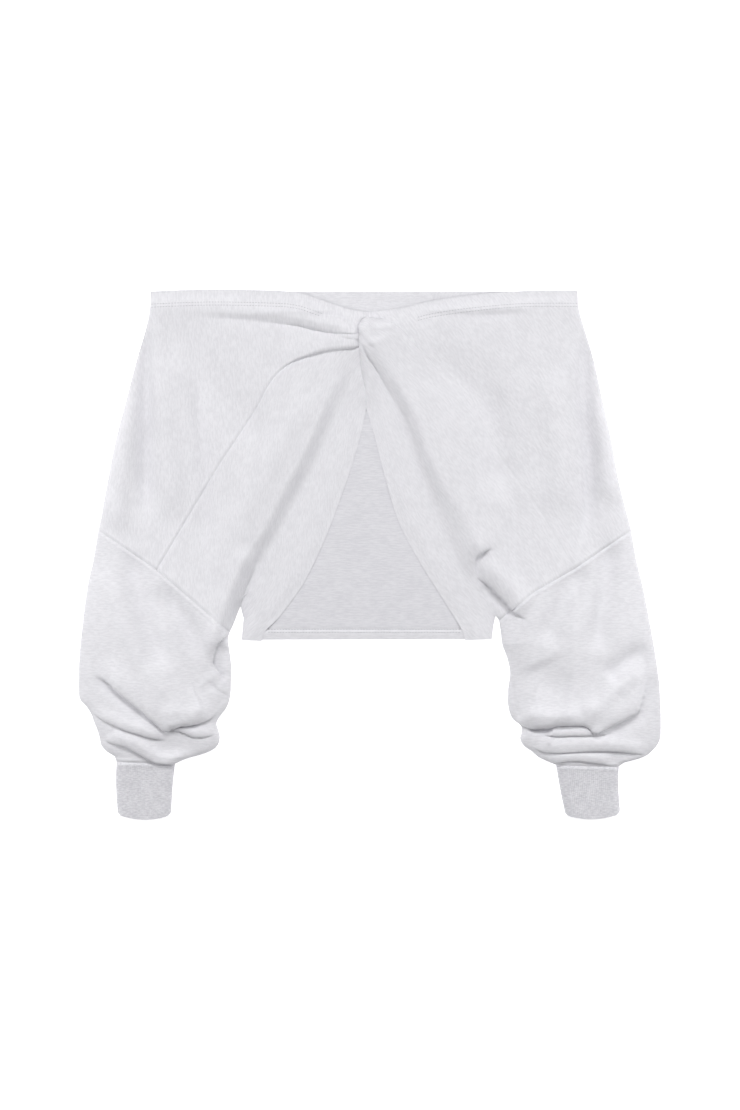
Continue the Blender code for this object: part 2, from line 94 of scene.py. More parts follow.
def smooth(points: Grid | Line, steps: int | list[int] = 6) -> Grid:
    """A smooth curve through some points, as a fine chain.

    Args:
        points: The points that the curve passes through.
        steps: How many runs each stretch between two points gets, as one number or one for each stretch.

    Returns:
        The chain's corners.
    """
    p = np.array(points, float)
    slope = (np.vstack([p[1:], p[-1]]) - np.vstack([p[0], p[:-1]])) / 2
    counts = [steps] * (len(p) - 1) if isinstance(steps, int) else steps
    made = [p[:1]]
    for i, count in enumerate(counts):
        t = (np.arange(1, count + 1) / count)[:, None]
        made.append(
            (2 * t**3 - 3 * t**2 + 1) * p[i]
            + (t**3 - 2 * t**2 + t) * slope[i]
            + (3 * t**2 - 2 * t**3) * p[i + 1]
            + (t**3 - t**2) * slope[i + 1]
        )
    return np.vstack(made)


def shifted(line: Grid | Line, amount: float) -> Grid:
    """A chain moved to its left by an amount, with mitred corners.

    Args:
        line: The chain's corners.
        amount: How far it moves, in millimetres.

    Returns:
        The moved corners.
    """
    corners = np.array(line, float)
    run = np.diff(corners, axis=0)
    run /= np.hypot(*run.T)[:, None]
    normal = np.stack([-run[:, 1], run[:, 0]], axis=-1)
    first = np.vstack([normal[:1], normal])
    second = np.vstack([normal, normal[-1:]])
    return corners + amount * (first + second) / (1 + (first * second).sum(axis=1))[:, None]


def spread(line: Grid, count: int) -> Grid:
    """Shares along a chain that take in each of its corners.

    Args:
        line: The chain's corners.
        count: How many shares there are. The longest gaps are halved up to it.

    Returns:
        The shares, from 0 to 1.
    """
    shares = list(lengths_along(np.array(line, float)))
    while len(shares) < count:
        i = int(np.argmax(np.diff(shares)))
        shares.insert(i + 1, (shares[i] + shares[i + 1]) / 2)
    return np.array(shares)


def ease(t: Grid) -> Grid:
    """A smooth step from 0 to 1."""
    t = np.clip(t, 0, 1)
    return t * t * (3 - 2 * t)


def dome(reach: Grid) -> Grid:
    """A quarter round that rises from 0 at an edge to 1 where the reach is 1 or more."""
    t = 1 - np.clip(reach, 0, 1)
    return np.sqrt(1 - t * t)


def distance(line: Grid, x: Grid, y: Grid) -> tuple[Grid, Grid, Grid, Grid]:
    """How places lie to a chain.

    Args:
        line: The chain's corners.
        x: The places' first coordinates.
        y: The places' second coordinates.

    Returns:
        The distance, positive on the chain's left; the nearest point's share of the chain; and the two
        parts of the direction that points to the chain's left there.
    """
    steps = np.diff(line, axis=0)
    sizes = np.hypot(*steps.T)
    starts = np.concatenate([[0], np.cumsum(sizes)])
    nearest = np.full(x.shape, np.inf)
    signed, share, left_x, left_y = (np.zeros(x.shape) for _ in range(4))
    for i, (run_x, run_y) in enumerate(steps):
        from_x, from_y = x - line[i, 0], y - line[i, 1]
        t = np.clip((from_x * run_x + from_y * run_y) / sizes[i] ** 2, 0, 1)
        away = np.hypot(from_x - t * run_x, from_y - t * run_y)
        closer = away < nearest
        nearest = np.where(closer, away, nearest)
        signed = np.where(closer, np.where(run_x * from_y >= run_y * from_x, away, -away), signed)
        share = np.where(closer, (starts[i] + t * sizes[i]) / starts[-1], share)
        left_x = np.where(closer, -run_y / sizes[i], left_x)
        left_y = np.where(closer, run_x / sizes[i], left_y)
    return signed, share, left_x, left_y


# The lie of the cloth


@dataclass(frozen=True)
class Puff:
    """A broad soft rise of the top skin.

    Args:
        name: What it is.
        x: Its middle, across the garment.
        y: Its middle, along the garment.
        reach_x: How far it reaches across.
        reach_y: How far it reaches along.
        rise: Its height.
    """

    name: str
    x: float
    y: float
    reach_x: float
    reach_y: float
    rise: float

    def add(self, x: Grid, y: Grid) -> Grid:
        """The height that it adds at each place."""
        across, down = (x - self.x) / self.reach_x, (y - self.y) / self.reach_y
        return self.rise * np.exp(-(across**2) - down**2)


@dataclass(frozen=True)
class Roll:
    """A roll of cloth on the left of its line, seen along it, that falls steeply into a crease there.

    Args:
        name: What it is.
        rise: The roll's height.
        width: How far from the crease the roll is at its full height.
        tail: How softly it dies away behind.
        trough: The crease's depth.
        lip: How far the roll leans over the crease.
        line: The crease.
        start: The share of the line over which it begins.
        end: The share of the line over which it ends.
        sharp: Whether it falls straight into the crease, or in a soft slope.
    """

    name: str
    rise: float
    width: float
    tail: float
    trough: float
    lip: float
    line: Line
    start: float = 0.22
    end: float = 0.22
    sharp: bool = True

    def add(self, x: Grid, y: Grid) -> tuple[Grid, Grid, Grid]:
        """The height that it adds at each place, and how far it moves the cloth across and along."""
        line = smooth(self.line)
        margin = 3 * max(self.width, self.tail) + self.width
        low, high = line.min(axis=0) - margin, line.max(axis=0) + margin
        near = (x > low[0]) & (x < high[0]) & (y > low[1]) & (y < high[1])
        height, move_x, move_y = np.zeros(x.shape), np.zeros(x.shape), np.zeros(x.shape)
        if not near.any():
            return height, move_x, move_y
        away, share, left_x, left_y = distance(line, x[near], y[near])
        strength = ease(share / self.start) * ease((1 - share) / self.end)
        beyond = np.exp(-((np.maximum(away - self.width, 0) / self.tail) ** 2))
        flank = dome(away / self.width) if self.sharp else ease(away / self.width)
        crease = self.trough * np.exp(-np.abs(away) / (2.0 if self.sharp else self.width))
        over = self.rise * flank * beyond - crease
        under = -crease
        height[near] = strength * np.where(away > 0, over, under)
        reach = np.clip(away / self.width, 0, 1)
        lean = self.lip * strength * np.sin(math.pi * reach**0.6)
        move_x[near], move_y[near] = -lean * left_x, -lean * left_y
        return height, move_x, move_y


@dataclass(frozen=True)
class Soft:
    """A ridge that falls off softly on both sides, or a trough where its rise is below nothing.

    Args:
        name: What it is.
        rise: Its height.
        width: How far it reaches on each side.
        line: Its crest.
    """

    name: str
    rise: float
    width: float
    line: Line

    def add(self, x: Grid, y: Grid) -> Grid:
        """The height that it adds at each place."""
        line = smooth(self.line)
        low, high = line.min(axis=0) - 3 * self.width, line.max(axis=0) + 3 * self.width
        near = (x > low[0]) & (x < high[0]) & (y > low[1]) & (y < high[1])
        height = np.zeros(x.shape)
        if near.any():
            away, share, _, _ = distance(line, x[near], y[near])
            strength = ease(np.minimum(share, 1 - share) / 0.22)
            height[near] = self.rise * strength * np.exp(-((away / self.width) ** 2))
        return height


PUFFS = (
    Puff("left shoulder", -215, 190, 95, 110, 3.5),
    Puff("right shoulder", 212, 190, 95, 110, 3.5),
    Puff("left elbow", -266, -112, 88, 92, 16),
    Puff("right elbow", 264, -112, 88, 92, 16),
    Puff("left gathers", -268, -205, 75, 42, 9),
    Puff("right gathers", 276, -205, 75, 42, 9),
    Puff("knot", -2, 268, 34, 26, 8),
    Puff("left front", -110, 110, 70, 80, 2),
    Puff("right front", 110, 110, 70, 80, 2),
)

KNOT_ROLLS = (
    Roll(
        "left neck", 3.5, 9, 12, 2, 0,
        ((-250, 297), (-200, 295), (-142, 291), (-94, 287), (-66, 281), (-43, 277), (-13, 275)),
        0.4, 0.15, False,
    ),
    Roll(
        "left neck crease", 3, 7, 8, 1.5, 2,
        ((-150, 290.5), (-94, 286.4), (-66, 280), (-43, 276.5), (-13, 275)), 0.6, 0.03,
    ),
    Roll(
        "left front fold", 3, 16, 38, 2, 0,
        ((-165, -65), (-134, -1), (-118, 23), (-94, 71), (-76, 103), (-54, 151), (-22, 231)),
        0.15, 0.3, False,
    ),
    Roll(
        "right front fold", 2, 14, 34, 1, 0,
        ((30, 199), (50, 135), (74.5, 71), (98.5, 15), (122.6, -33.5), (145, -62)), 0.3, 0.15, False,
    ),
    Roll(
        "left raglan", 5, 8, 14, 1.5, 2,
        ((-120, 222), (-102, 237), (-85, 245), (-66, 250), (-47, 254), (-14, 257.5)), 0.55, 0.05,
    ),
    Roll(
        "knot edge", 4, 7, 16, 1.2, 0.4,
        (
            (5, 296.5), (-3, 294), (-8, 290), (-11.5, 284), (-13.5, 277), (-14, 258),
            (-12, 240), (-9, 222), (-6, 207), (-2, 170),
        ),
        0.07, 0.3,
    ),
    Roll(
        "knot pocket", 3.5, 4, 6, 6, 4,
        ((3, 296), (-3, 294), (-8, 290.5), (-11.5, 285), (-13, 279), (-13.7, 273)), 0.2, 0.2,
    ),
    Roll("tuck", 2, 4, 5, 1.5, 1.2, ((-46, 271), (-36, 270.8), (-24, 269), (-13, 266.3)), 0.4, 0.05),
    Roll("upper tuck", 1.2, 2.5, 4, 1, 0.8, ((-30, 274), (-22, 273.5), (-13, 272.5)), 0.4, 0.05),
    Roll(
        "right front", 3.5, 7, 24, 1.5, 1.5,
        (
            (-10.3, 266), (-3.4, 248.4), (7.6, 232), (18.7, 212.4),
            (30, 193), (41, 176.5), (52, 151.6), (64, 120),
        ),
        0.04, 0.45,
    ),
    Roll(
        "small fold", 2.4, 3.5, 5, 1.5, 1.2,
        ((-10, 274), (-6, 268), (-1, 262), (5, 257.5), (10, 254)),
        0.1, 0.4,
    ),
    Roll("loop", 1.5, 7, 8, 0.5, 0.3, ((-4, 278), (9.8, 279.4), (22, 279), (36, 277)), 0.3, 0.4),
    Roll(
        "loop edge", 1.5, 3, 8, 0.8, 0.5,
        ((44, 274), (34, 284), (24, 291), (12, 295.5), (0, 294.5)),
        0.4, 0.3,
    ),
    Roll(
        "right raglan", 1.8, 5, 12, 0.8, 0.6,
        ((72, 244), (61, 256), (48, 270), (35, 283.5), (24, 291)),
        0.35, 0.1,
    ),
)

UNDERARM_ROLLS = (
    Roll(
        "left underarm", 7, 9, 24, 2, 2.5,
        ((-154, -92), (-162, -66), (-159.4, -54.5), (-154, -40.6), (-147, -25), (-142, -10), (-136, 8)),
    ),
    Roll(
        "right curl", 6, 9, 20, 2.5, 3,
        (
            (140, -50), (135.5, -38), (131.4, -27), (130.5, -18), (131.8, -6),
            (138.3, 2.2), (149.3, 6.8), (160, 4),
        ),
        0.25, 0.3,
    ),
    Roll(
        "right underarm", 7, 8, 20, 4, 5,
        (
            (130, -25), (136, -30), (148, -38), (157, -47),
            (166.5, -56), (176, -67), (187.5, -77), (196, -82),
        ),
        0.15, 0.25,
    ),
)

SLEEVE_ROLLS = (
    Roll(
        "left pouch", 9, 10, 24, 3, 4,
        (
            (-345.5, -150), (-328, -157), (-309, -172.6), (-293, -184.7), (-278, -197),
            (-264, -209), (-253.5, -217.7), (-246, -213), (-236, -209.5),
            (-222, -208.5), (-200, -204), (-186, -192),
        ),
        0.18, 0.15,
    ),
    Roll(
        "left second gather", 4, 5, 8, 1.5, 1.5,
        ((-254, -218), (-236, -219.4), (-218.8, -226.4), (-201.4, -225.5), (-190, -222)),
    ),
    Roll(
        "left third gather", 5, 5, 9, 2.5, 2.5,
        (
            (-352, -192), (-337, -202), (-323, -209), (-305.6, -216.8),
            (-288, -222), (-271, -227.3), (-250, -232),
        ),
    ),
    Roll(
        "left lowest gather", 7, 7, 9, 2, 2.5,
        (
            (-333, -222), (-328, -231.6), (-314, -235), (-302, -238.5), (-291.7, -243.8),
            (-277.8, -252.4), (-264, -259), (-250, -261), (-236, -259.4), (-225.7, -255), (-212, -251),
        ),
    ),
    Roll(
        "left sleeve pocket", 8, 7, 16, 3.5, 4.5,
        (
            (-181, -160), (-188, -148), (-194, -141), (-196.5, -133),
            (-195.5, -121), (-188, -107), (-176, -98.5),
        ),
        0.25, 0.1,
    ),
    Roll(
        "left black pocket", 2.5, 4, 6, 5, 3,
        ((-252, -217), (-246, -213), (-240, -211.5), (-230, -210.5), (-219, -210), (-208, -207)), 0.2, 0.3,
    ),
    Roll(
        "right black pocket", 2.5, 4, 6, 5, 2,
        ((198, -215.5), (205, -216), (214, -215.5), (224, -214), (232, -213)), 0.3, 0.3,
    ),
    Roll(
        "left pocket tuck", 2, 4, 6, 1, 1,
        ((-201, -151.7), (-192.7, -164), (-180.6, -172.6), (-172, -176)),
    ),
    Roll(
        "right pouch", 8, 10, 22, 3, 2.2,
        (
            (177, -203), (183, -209), (199, -216), (211, -214), (225, -213), (239, -211.6), (263, -211.5),
            (272, -215), (279, -221.5), (292.7, -216), (308, -209), (322, -202),
            (332.6, -195), (339.6, -176), (344.8, -155), (349, -138),
        ),
        0.06, 0.25,
    ),
    Roll(
        "right second gather", 3.5, 4, 6, 2, 1.5,
        (
            (205, -222), (220, -224), (235.4, -225.5), (249, -224.7),
            (277, -224.3), (292.7, -222.9), (305, -220),
        ),
    ),
    Roll(
        "right third gather", 6, 7, 10, 2, 2.5,
        (
            (200, -238), (211, -243), (228.5, -245.5), (249, -244.6), (273.6, -243.4),
            (298, -243.4), (317, -244.6), (332.6, -247), (345, -251),
        ),
        0.15, 0.15,
    ),
    Roll(
        "right lowest gather", 5, 6, 8, 1.5, 1.5,
        (
            (222.4, -263.7), (232, -259.4), (246, -256.8), (263, -256.8),
            (273.6, -258.5), (289, -260), (303, -263.7),
        ),
    ),
)

SOFT_FOLDS = (
    Soft("right underarm pit", -7, 6, ((139, -38), (147, -47), (156, -58), (163, -68))),
    Soft("right underarm hole", -9, 3.5, ((148, -45), (157, -56), (168, -68), (180, -77))),
    Soft(
        "right underarm hollow", -5, 4,
        ((151, 2), (141, -2), (136, -9), (134.5, -18), (136, -28), (140, -36)),
    ),
    Soft("right underarm tuck", 2.5, 2, ((157, -49), (153, -57), (150, -65))),
    Soft("left broad valley", -7, 26, ((-262, 305), (-235, 262), (-190, 205), (-150, 160), (-120, 130))),
    Soft("left outer ridge", 6, 12, ((-296, 200), (-306, 120), (-312, 60), (-300, 20))),
    Soft("left inner ridge", 6, 16, ((-256, 250), (-254, 180), (-250, 110), (-240, 40))),
    Soft("left front ridge", 5, 18, ((-60, 212), (-98, 165), (-138, 92), (-172, 20), (-186, -30))),
    Soft(
        "left outer trough", -10, 9,
        ((-274, 318), (-278, 280), (-280, 230), (-280, 150), (-281, 100), (-275, 35)),
    ),
    Soft("right outer ridge", 6, 12, ((284, 200), (292, 120), (300, 60))),
    Soft("right inner ridge", 6, 18, ((218, 240), (228, 180), (236, 110), (232, 40))),
    Soft("right broad valley", -8, 24, ((60, 262), (105, 225), (150, 175), (160, 110), (158, 60))),
    Soft(
        "right outer trough", -9, 9,
        ((262, 312), (267, 240), (268, 180), (274, 110), (272, 60), (262, 0)),
    ),
    Soft("left shoulder valley", -5, 9, ((-222, 240), (-214, 190), (-209, 143), (-204, 71), (-205, -5))),
    Soft("right shoulder valley", -3, 18, ((120, 262), (146, 223), (151, 159), (155, 100), (160, 60))),
    Soft("right batwing valley", -2, 7, ((176, 100), (179, 79), (184, 7), (187, -45))),
    Soft("left underarm tuck", -2.5, 4, ((-150, -10), (-141, -9), (-131, -9))),
    Soft("left low tuck", -2, 3.5, ((-150, -28), (-139, -26), (-127, -24))),
    Soft("left hem crease", -1.5, 2.5, ((-147, -72), (-141, -82), (-136, -97))),
    Soft("right neck trough", -2.5, 7, ((34.5, 290.7), (57, 289.8), (76, 298.3), (142, 298.3), (200, 299))),
    Soft("right neck ridge", 2, 5, ((50, 304), (90, 305), (150, 306), (215, 308))),
    Soft(
        "left neck ridge", 2.5, 4.5,
        ((-160, 303), (-85, 303), (-51, 304.9), (-36, 301), (-20.5, 292.6), (-9, 292.6)),
    ),
    Soft("left neck trough", -2.5, 3.5, ((-76, 299), (-41, 297), (-28, 289), (-19, 281), (-13, 278))),
    Soft("left sleeve ridge", 8, 20, ((-326, 0), (-312, -60), (-288, -120), (-248, -170), (-215, -190))),
    Soft("left sleeve valley", -9, 16, ((-306, 10), (-292, -35), (-279, -80), (-268, -116), (-254, -150))),
    Soft(
        "left inner valley", -10, 15,
        ((-262, -30), (-246, -62), (-230, -85), (-214, -116), (-201, -150), (-184, -172)),
    ),
    Soft("left pocket pit", -6, 8, ((-180, -160), (-184, -146), (-184, -128), (-180, -108))),
    Soft(
        "left pouch shadow", -4, 8,
        ((-345, -151), (-326, -164), (-308, -179), (-290, -194), (-272, -209)),
    ),
    Soft(
        "left pocket", -9, 2.4,
        ((-250, -214), (-246, -212.5), (-240, -211.5), (-230, -211), (-215, -210)),
    ),
    Soft("right pocket", -9, 2.6, ((198, -216.5), (204, -217.5), (212, -218), (220, -218), (228, -216))),
    Soft(
        "left strip line", -1.2, 1.6,
        ((-232, -205), (-212, -203), (-197, -196), (-186, -184), (-180, -172)),
    ),
    Soft("left end ridge", 3, 9, ((-262, -196), (-240, -196), (-215, -195), (-195, -183))),
    Soft(
        "right sleeve outer valley", -9, 13,
        ((302, 24), (298, 4), (293, -44), (287, -76), (284, -95), (279, -128)),
    ),
    Soft(
        "right sleeve inner valley", -8, 14,
        ((266, -8), (257, -32), (245, -50), (236, -70), (228, -86), (216, -118)),
    ),
    Soft("right pouch dip", -7, 12, ((350, -118), (332, -124), (312, -138), (292, -156))),
    Soft("right pouch ridge", 6, 11, ((262, -200), (276, -193), (298, -172), (322, -153), (346, -140))),
    Soft("right lip ridge", 5, 9, ((186, -196), (205, -199), (230, -200), (262, -197))),
    Soft("right low dip", -5, 27, ((204, -132), (214, -150), (232, -166), (252, -172))),
    Soft(
        "right pouch shadow", -4, 9,
        ((282, -228), (300, -220), (322, -210), (338, -196), (350, -168), (354, -140)),
    ),
    Soft("right hem crease", -2, 4, ((132, -30.6), (141, -61.8), (141.8, -86))),
    Soft(
        "right strip line", -1.5, 1.8,
        ((174.5, -146), (177, -166), (180, -182), (187, -199), (196, -213)),
    ),
    Soft("right knot ridge", 2, 3.5, ((226.7, -214), (225, -223), (219.8, -236.8))),
)


@dataclass(frozen=True)
class Edge:
    """How the folds along a side of the garment round off at one place along it.

    Args:
        y: The place along the garment.
        outer_middle: The height of the widest point of its outer fold.
        outer_reach: How far in its outer fold's crown lies.
        inner_middle: The height of the widest point of its inner fold.
        inner_reach: How far in its inner fold's crown lies.
    """

    y: float
    outer_middle: float
    outer_reach: float
    inner_middle: float
    inner_reach: float


EDGES = (
    Edge(-335, 6.0, 10, 6.0, 10),
    Edge(-262, 6.5, 13, 6.5, 13),
    Edge(-245, 9.0, 24, 8.0, 22),
    Edge(-200, 11.0, 40, 9.0, 34),
    Edge(-140, 11.0, 48, 8.0, 34),
    Edge(-96, 10.0, 42, 4.3, 18),
    Edge(-40, 8.0, 32, 4.3, 18),
    Edge(30, 6.5, 16, 4.3, 18),
    Edge(330, 6.0, 9, 4.3, 18),
)


@dataclass(frozen=True)
class Side:
    """The cut lines of one side of the garment, in millimetres as it lies.

    Args:
        name: Which side it is.
        turn: 1 on the right and -1 on the left.
        outer: The outer fold of the upper sleeve, from the neck down.
        neck: The neck's edge.
        raglan: The front raglan seam, from the twist down.
        back_raglan: The back raglan seam, from the neck down.
        seam: The sleeve seam, from the outer fold to the armpit.
        sections: The lower sleeve's rows, each from its outer to its inner fold.
        cuff: The cuff's rows.
        armpit: The edge from the sleeve seam to the side seam.
        side_seam: The side seam, down to the hem.
        opening: The front's edge, from the twist to the hem.
    """

    name: str
    turn: int
    outer: Line
    neck: Line
    raglan: Line
    back_raglan: Line
    seam: Line
    sections: tuple[Line, ...]
    cuff: tuple[Line, ...]
    armpit: Line
    side_seam: Line
    opening: Line


CROSSING: Line = (
    (10, 304.5), (2, 297), (-9.5, 288), (-13.5, 278),
    (-14.2, 258), (-11.7, 235), (-8, 208), (-4.8, 183),
)

LEFT = Side(
    name="left",
    turn=-1,
    outer=(
        (-274, 329), (-275, 306), (-280, 281), (-291, 244), (-304, 194),
        (-317, 144), (-327, 94), (-335, 50), (-339, 31),
    ),
    neck=(
        (-274, 329), (-200, 331.5), (-118, 330), (-88, 327),
        (-62, 319), (-33, 309), (-10, 304), (10, 304.5),
    ),
    raglan=(
        (-14.2, 258), (-50, 256), (-83, 246), (-108, 232), (-125, 213),
        (-139, 187), (-167, 143), (-196, 98), (-265, -19),
    ),
    back_raglan=((-75, 329), (-265, -19)),
    seam=((-339, 31), (-265, -19), (-175, -96)),
    sections=(
        ((-345, -6), (-177, -106)),
        ((-352, -38), (-175, -120)),
        ((-358, -84), (-173, -137)),
        ((-362, -125), (-173, -156)),
        ((-363, -158), (-174, -175)),
        ((-362, -178), (-178, -189)),
        ((-353, -189), (-186, -200)),
        ((-347, -199), (-191, -209)),
        ((-344, -208), (-189, -218)),
        ((-340, -218), (-187, -227)),
        ((-337, -228), (-189, -236)),
        ((-335, -237), (-196, -243)),
        ((-328, -245), (-210, -249)),
        ((-319, -251), (-229, -254)),
        ((-316.5, -258), (-243, -260)),
    ),
    cuff=(
        ((-316.5, -258), (-243, -260)),
        ((-317, -290), (-246, -290)),
        ((-315, -326), (-248, -327)),
    ),
    armpit=((-175, -96), (-169, -83), (-162, -64)),
    side_seam=((-162, -64), (-158, -79), (-160.5, -106)),
    opening=(
        (-4.8, 183), (-10.6, 155), (-23.5, 110), (-43, 54), (-62, 7),
        (-86, -40), (-115, -79), (-131, -95), (-135, -107.5),
    ),
)

RIGHT = Side(
    name="right",
    turn=1,
    outer=(
        (259, 330), (261, 306), (268, 281), (279, 244), (290, 194),
        (301, 144), (310, 94), (321, 50), (326, 31),
    ),
    neck=((259, 330), (190, 329.5), (125, 324), (75, 317), (42, 309), (10, 304.5)),
    raglan=(
        (2, 297), (20, 294), (40, 281), (62, 256), (96, 223),
        (125, 186), (154, 136), (183, 94), (208, 60), (255, -17),
    ),
    back_raglan=((75, 329), (255, -17)),
    seam=((326, 31), (255, -17), (201, -48), (161, -82)),
    sections=(
        ((332, -5), (163, -96)),
        ((340, -38), (165, -112)),
        ((348, -80), (171, -129)),
        ((355, -120), (174.5, -147)),
        ((360, -155), (172, -167)),
        ((362, -184), (172, -187)),
        ((362.5, -204), (177, -203)),
        ((362.5, -218), (188, -213)),
        ((362, -228), (189, -221)),
        ((358, -237), (187, -229)),
        ((352, -244), (192, -238)),
        ((345, -250), (202, -245)),
        ((333, -255), (210, -252)),
        ((318, -259), (220, -257)),
        ((310.5, -264), (232, -262)),
    ),
    cuff=(
        ((310.5, -264), (232, -262)),
        ((310, -290), (236.5, -290)),
        ((312, -325), (243, -327)),
    ),
    armpit=((161, -82), (159.5, -79), (157, -76)),
    side_seam=((157, -76), (154, -90), (152.5, -105)),
    opening=(
        (-4.8, 183), (4, 155), (17, 104), (35.7, 42), (61, -6.5),
        (82, -40.5), (98, -66), (115, -94), (118.5, -106.5),
    ),
)


@dataclass(frozen=True)
class Lie:
    """The top skin of the whole garment: a rest height, soft puffs and the folds.

    Args:
        rest: The height of cloth that lies smooth.
        least: The least height away from the opening.
        edge: The height of the opening's edges.
        hem_extra: How much higher they lie on the back's hem.
        hem_top: Where the back's hem begins.
        hem_slope: The distance over which they rise to it.
        facing_lift: The share of its height that the cloth beside the opening has.
        facing_reach: How far from the opening it has it.
        left_fold: The fold line on the left, from the hem to the twist.
        right_fold: The fold line on the right, from the twist to the hem.
        fold_start: How far before its line a fold begins to rise.
        fold_slope: How far beyond it the fold has risen.
        low_slope: How much softer the right fold is near the hem.
        low_start: Where it begins to soften.
        low_reach: The distance over which it softens.
        fold_fade: The share of a fold line over which it grows from the twist.
        fold_end: Where the folds have ended below.
        neck_drop: How much lower the cloth lies at the neck's edge.
        neck_slope: How far from the edge it does.
        puffs: The broad rises.
        rolls: The rolls of cloth.
        softs: The soft ridges and troughs.
    """

    rest: float = 13.0
    least: float = 4.4
    edge: float = 1.9
    hem_extra: float = 1.2
    hem_top: float = -93.5
    hem_slope: float = 18.0
    facing_lift: float = 0.18
    facing_reach: float = 16.0
    left_fold: Line = (
        (-170, -110), (-168, -84), (-160, -55), (-154, -40), (-145, -20), (-134, 0), (-118, 23),
        (-94, 71), (-76, 103), (-54, 151), (-22, 231), (-14, 258),
    )
    right_fold: Line = (
        (-10.3, 266), (-3.4, 248.4), (10, 228), (30, 193), (50, 145),
        (74.5, 71), (98.5, 15), (115, -18), (131, -40), (150, -62), (159, -80), (161, -110),
    )
    fold_start: float = -4.0
    fold_slope: float = 22.0
    low_slope: float = 20.0
    low_start: float = 130.0
    low_reach: float = 110.0
    fold_fade: float = 0.2
    fold_end: float = -118.0
    neck_drop: float = 8.0
    neck_slope: float = 24.0
    puffs: tuple[Puff, ...] = PUFFS
    rolls: tuple[Roll, ...] = KNOT_ROLLS + UNDERARM_ROLLS + SLEEVE_ROLLS
    softs: tuple[Soft, ...] = SOFT_FOLDS

    def edge_height(self, y: Grid) -> Grid:
        """How high a front's edge lies: on the back panel, or on its hem."""
        return self.edge + self.hem_extra * ease((self.hem_top + self.hem_slope - y) / self.hem_slope)

    def rise_share(self, x: Grid, y: Grid) -> Grid:
        """How far the cloth has risen from the facings beside the front opening, from 0 to 1."""
        east = distance(np.array(CROSSING, float), x, y)[0] > 0
        lower = ease((self.low_start - y) / self.low_reach)
        slope = self.fold_slope + np.where(east, self.low_slope * lower, 0)
        shares = []
        for line in (self.left_fold, self.right_fold):
            away, share, _, _ = distance(smooth(line), x, y)
            from_knot = 1 - share if line is self.left_fold else share
            sunk = (1 - ease((away - self.fold_start) / slope)) * ease(from_knot / self.fold_fade)
            sunk *= np.where(away > 0, ease((y - self.fold_end) / self.fold_slope / 2), 1)
            shares.append(1 - np.where((share > 0) & (share < 1), sunk, 0))
        return np.where(east, shares[1], shares[0])

    def skin(self, x: Grid, y: Grid) -> tuple[Grid, Grid, Grid]:
        """The top skin over some places.

        Args:
            x: The places' first coordinates.
            y: The places' second coordinates.

        Returns:
            The skin's height, and how far its rolls move it across and along.
        """
        x, y = np.asarray(x, float), np.asarray(y, float)
        height = np.full(x.shape, self.rest)
        move_x, move_y = np.zeros(x.shape), np.zeros(x.shape)
        for puff in self.puffs:
            height += puff.add(x, y)
        for soft in self.softs:
            height += soft.add(x, y)
        for roll in self.rolls:
            rise, over_x, over_y = roll.add(x, y)
            height += rise
            move_x += over_x
            move_y += over_y
        for side in (LEFT, RIGHT):
            from_neck = np.abs(distance(smooth(side.neck), x, y)[0])
            height -= self.neck_drop * (1 - ease(from_neck / self.neck_slope))
        height = np.maximum(height, self.least)
        away = np.minimum(*(np.abs(distance(smooth(side.opening), x, y)[0]) for side in (LEFT, RIGHT)))
        rise = self.rise_share(x, y)
        lift = self.facing_lift * ease(away / self.facing_reach) + (1 - self.facing_lift) * rise
        base = self.edge_height(y)
        return base + (height - base) * lift, move_x * lift, move_y * lift


def at_edge(name: str, y: Grid) -> Grid:
    """One of the edge sizes at places along the garment."""
    return np.interp(y, [row.y for row in EDGES], [getattr(row, name) for row in EDGES])


def patch(first: Grid, last: Grid, start: Grid, end: Grid, shares: Grid, hold: float = 4) -> Grid:
    """Points inside four edges.

    Args:
        first: The edge that runs down the first column.
        last: The edge that runs down the last column.
        start: The edge across the top.
        end: The edge across the bottom.
        shares: How far across each point of each row lies, from 0 to 1.
        hold: How soon the curve of the first or last row gives way to straight rows.

    Returns:
        A point for each share.
    """
    down = np.linspace(0, 1, len(first))[:, None, None]
    u = shares[:, :, None]
    ruled = (1 - u) * first[:, None] + u * last[:, None]
    start_row = along(start, shares.ravel()).reshape(*shares.shape, 2)
    end_row = along(end, shares.ravel()).reshape(*shares.shape, 2)
    start_bow = (1 - down) ** hold * (start_row - (1 - u) * first[0] - u * last[0])
    end_bow = down**hold * (end_row - (1 - u) * first[-1] - u * last[-1])
    return ruled + start_bow + end_bow


def arc_places(middle: Grid, reach: Grid, steps: int) -> tuple[Grid, Grid]:
    """How far in from an edge the points of its foot and of its crown lie."""
    turn = np.linspace(0, math.pi / 2, steps + 1)
    return middle * (1 - np.sin(turn))[::-1], reach * (1 - np.cos(turn))


def foot_height(away: Grid, middle: Grid) -> Grid:
    """The height of the rounded foot under a fold."""
    return middle * (1 - dome(away / middle))


# Finishes


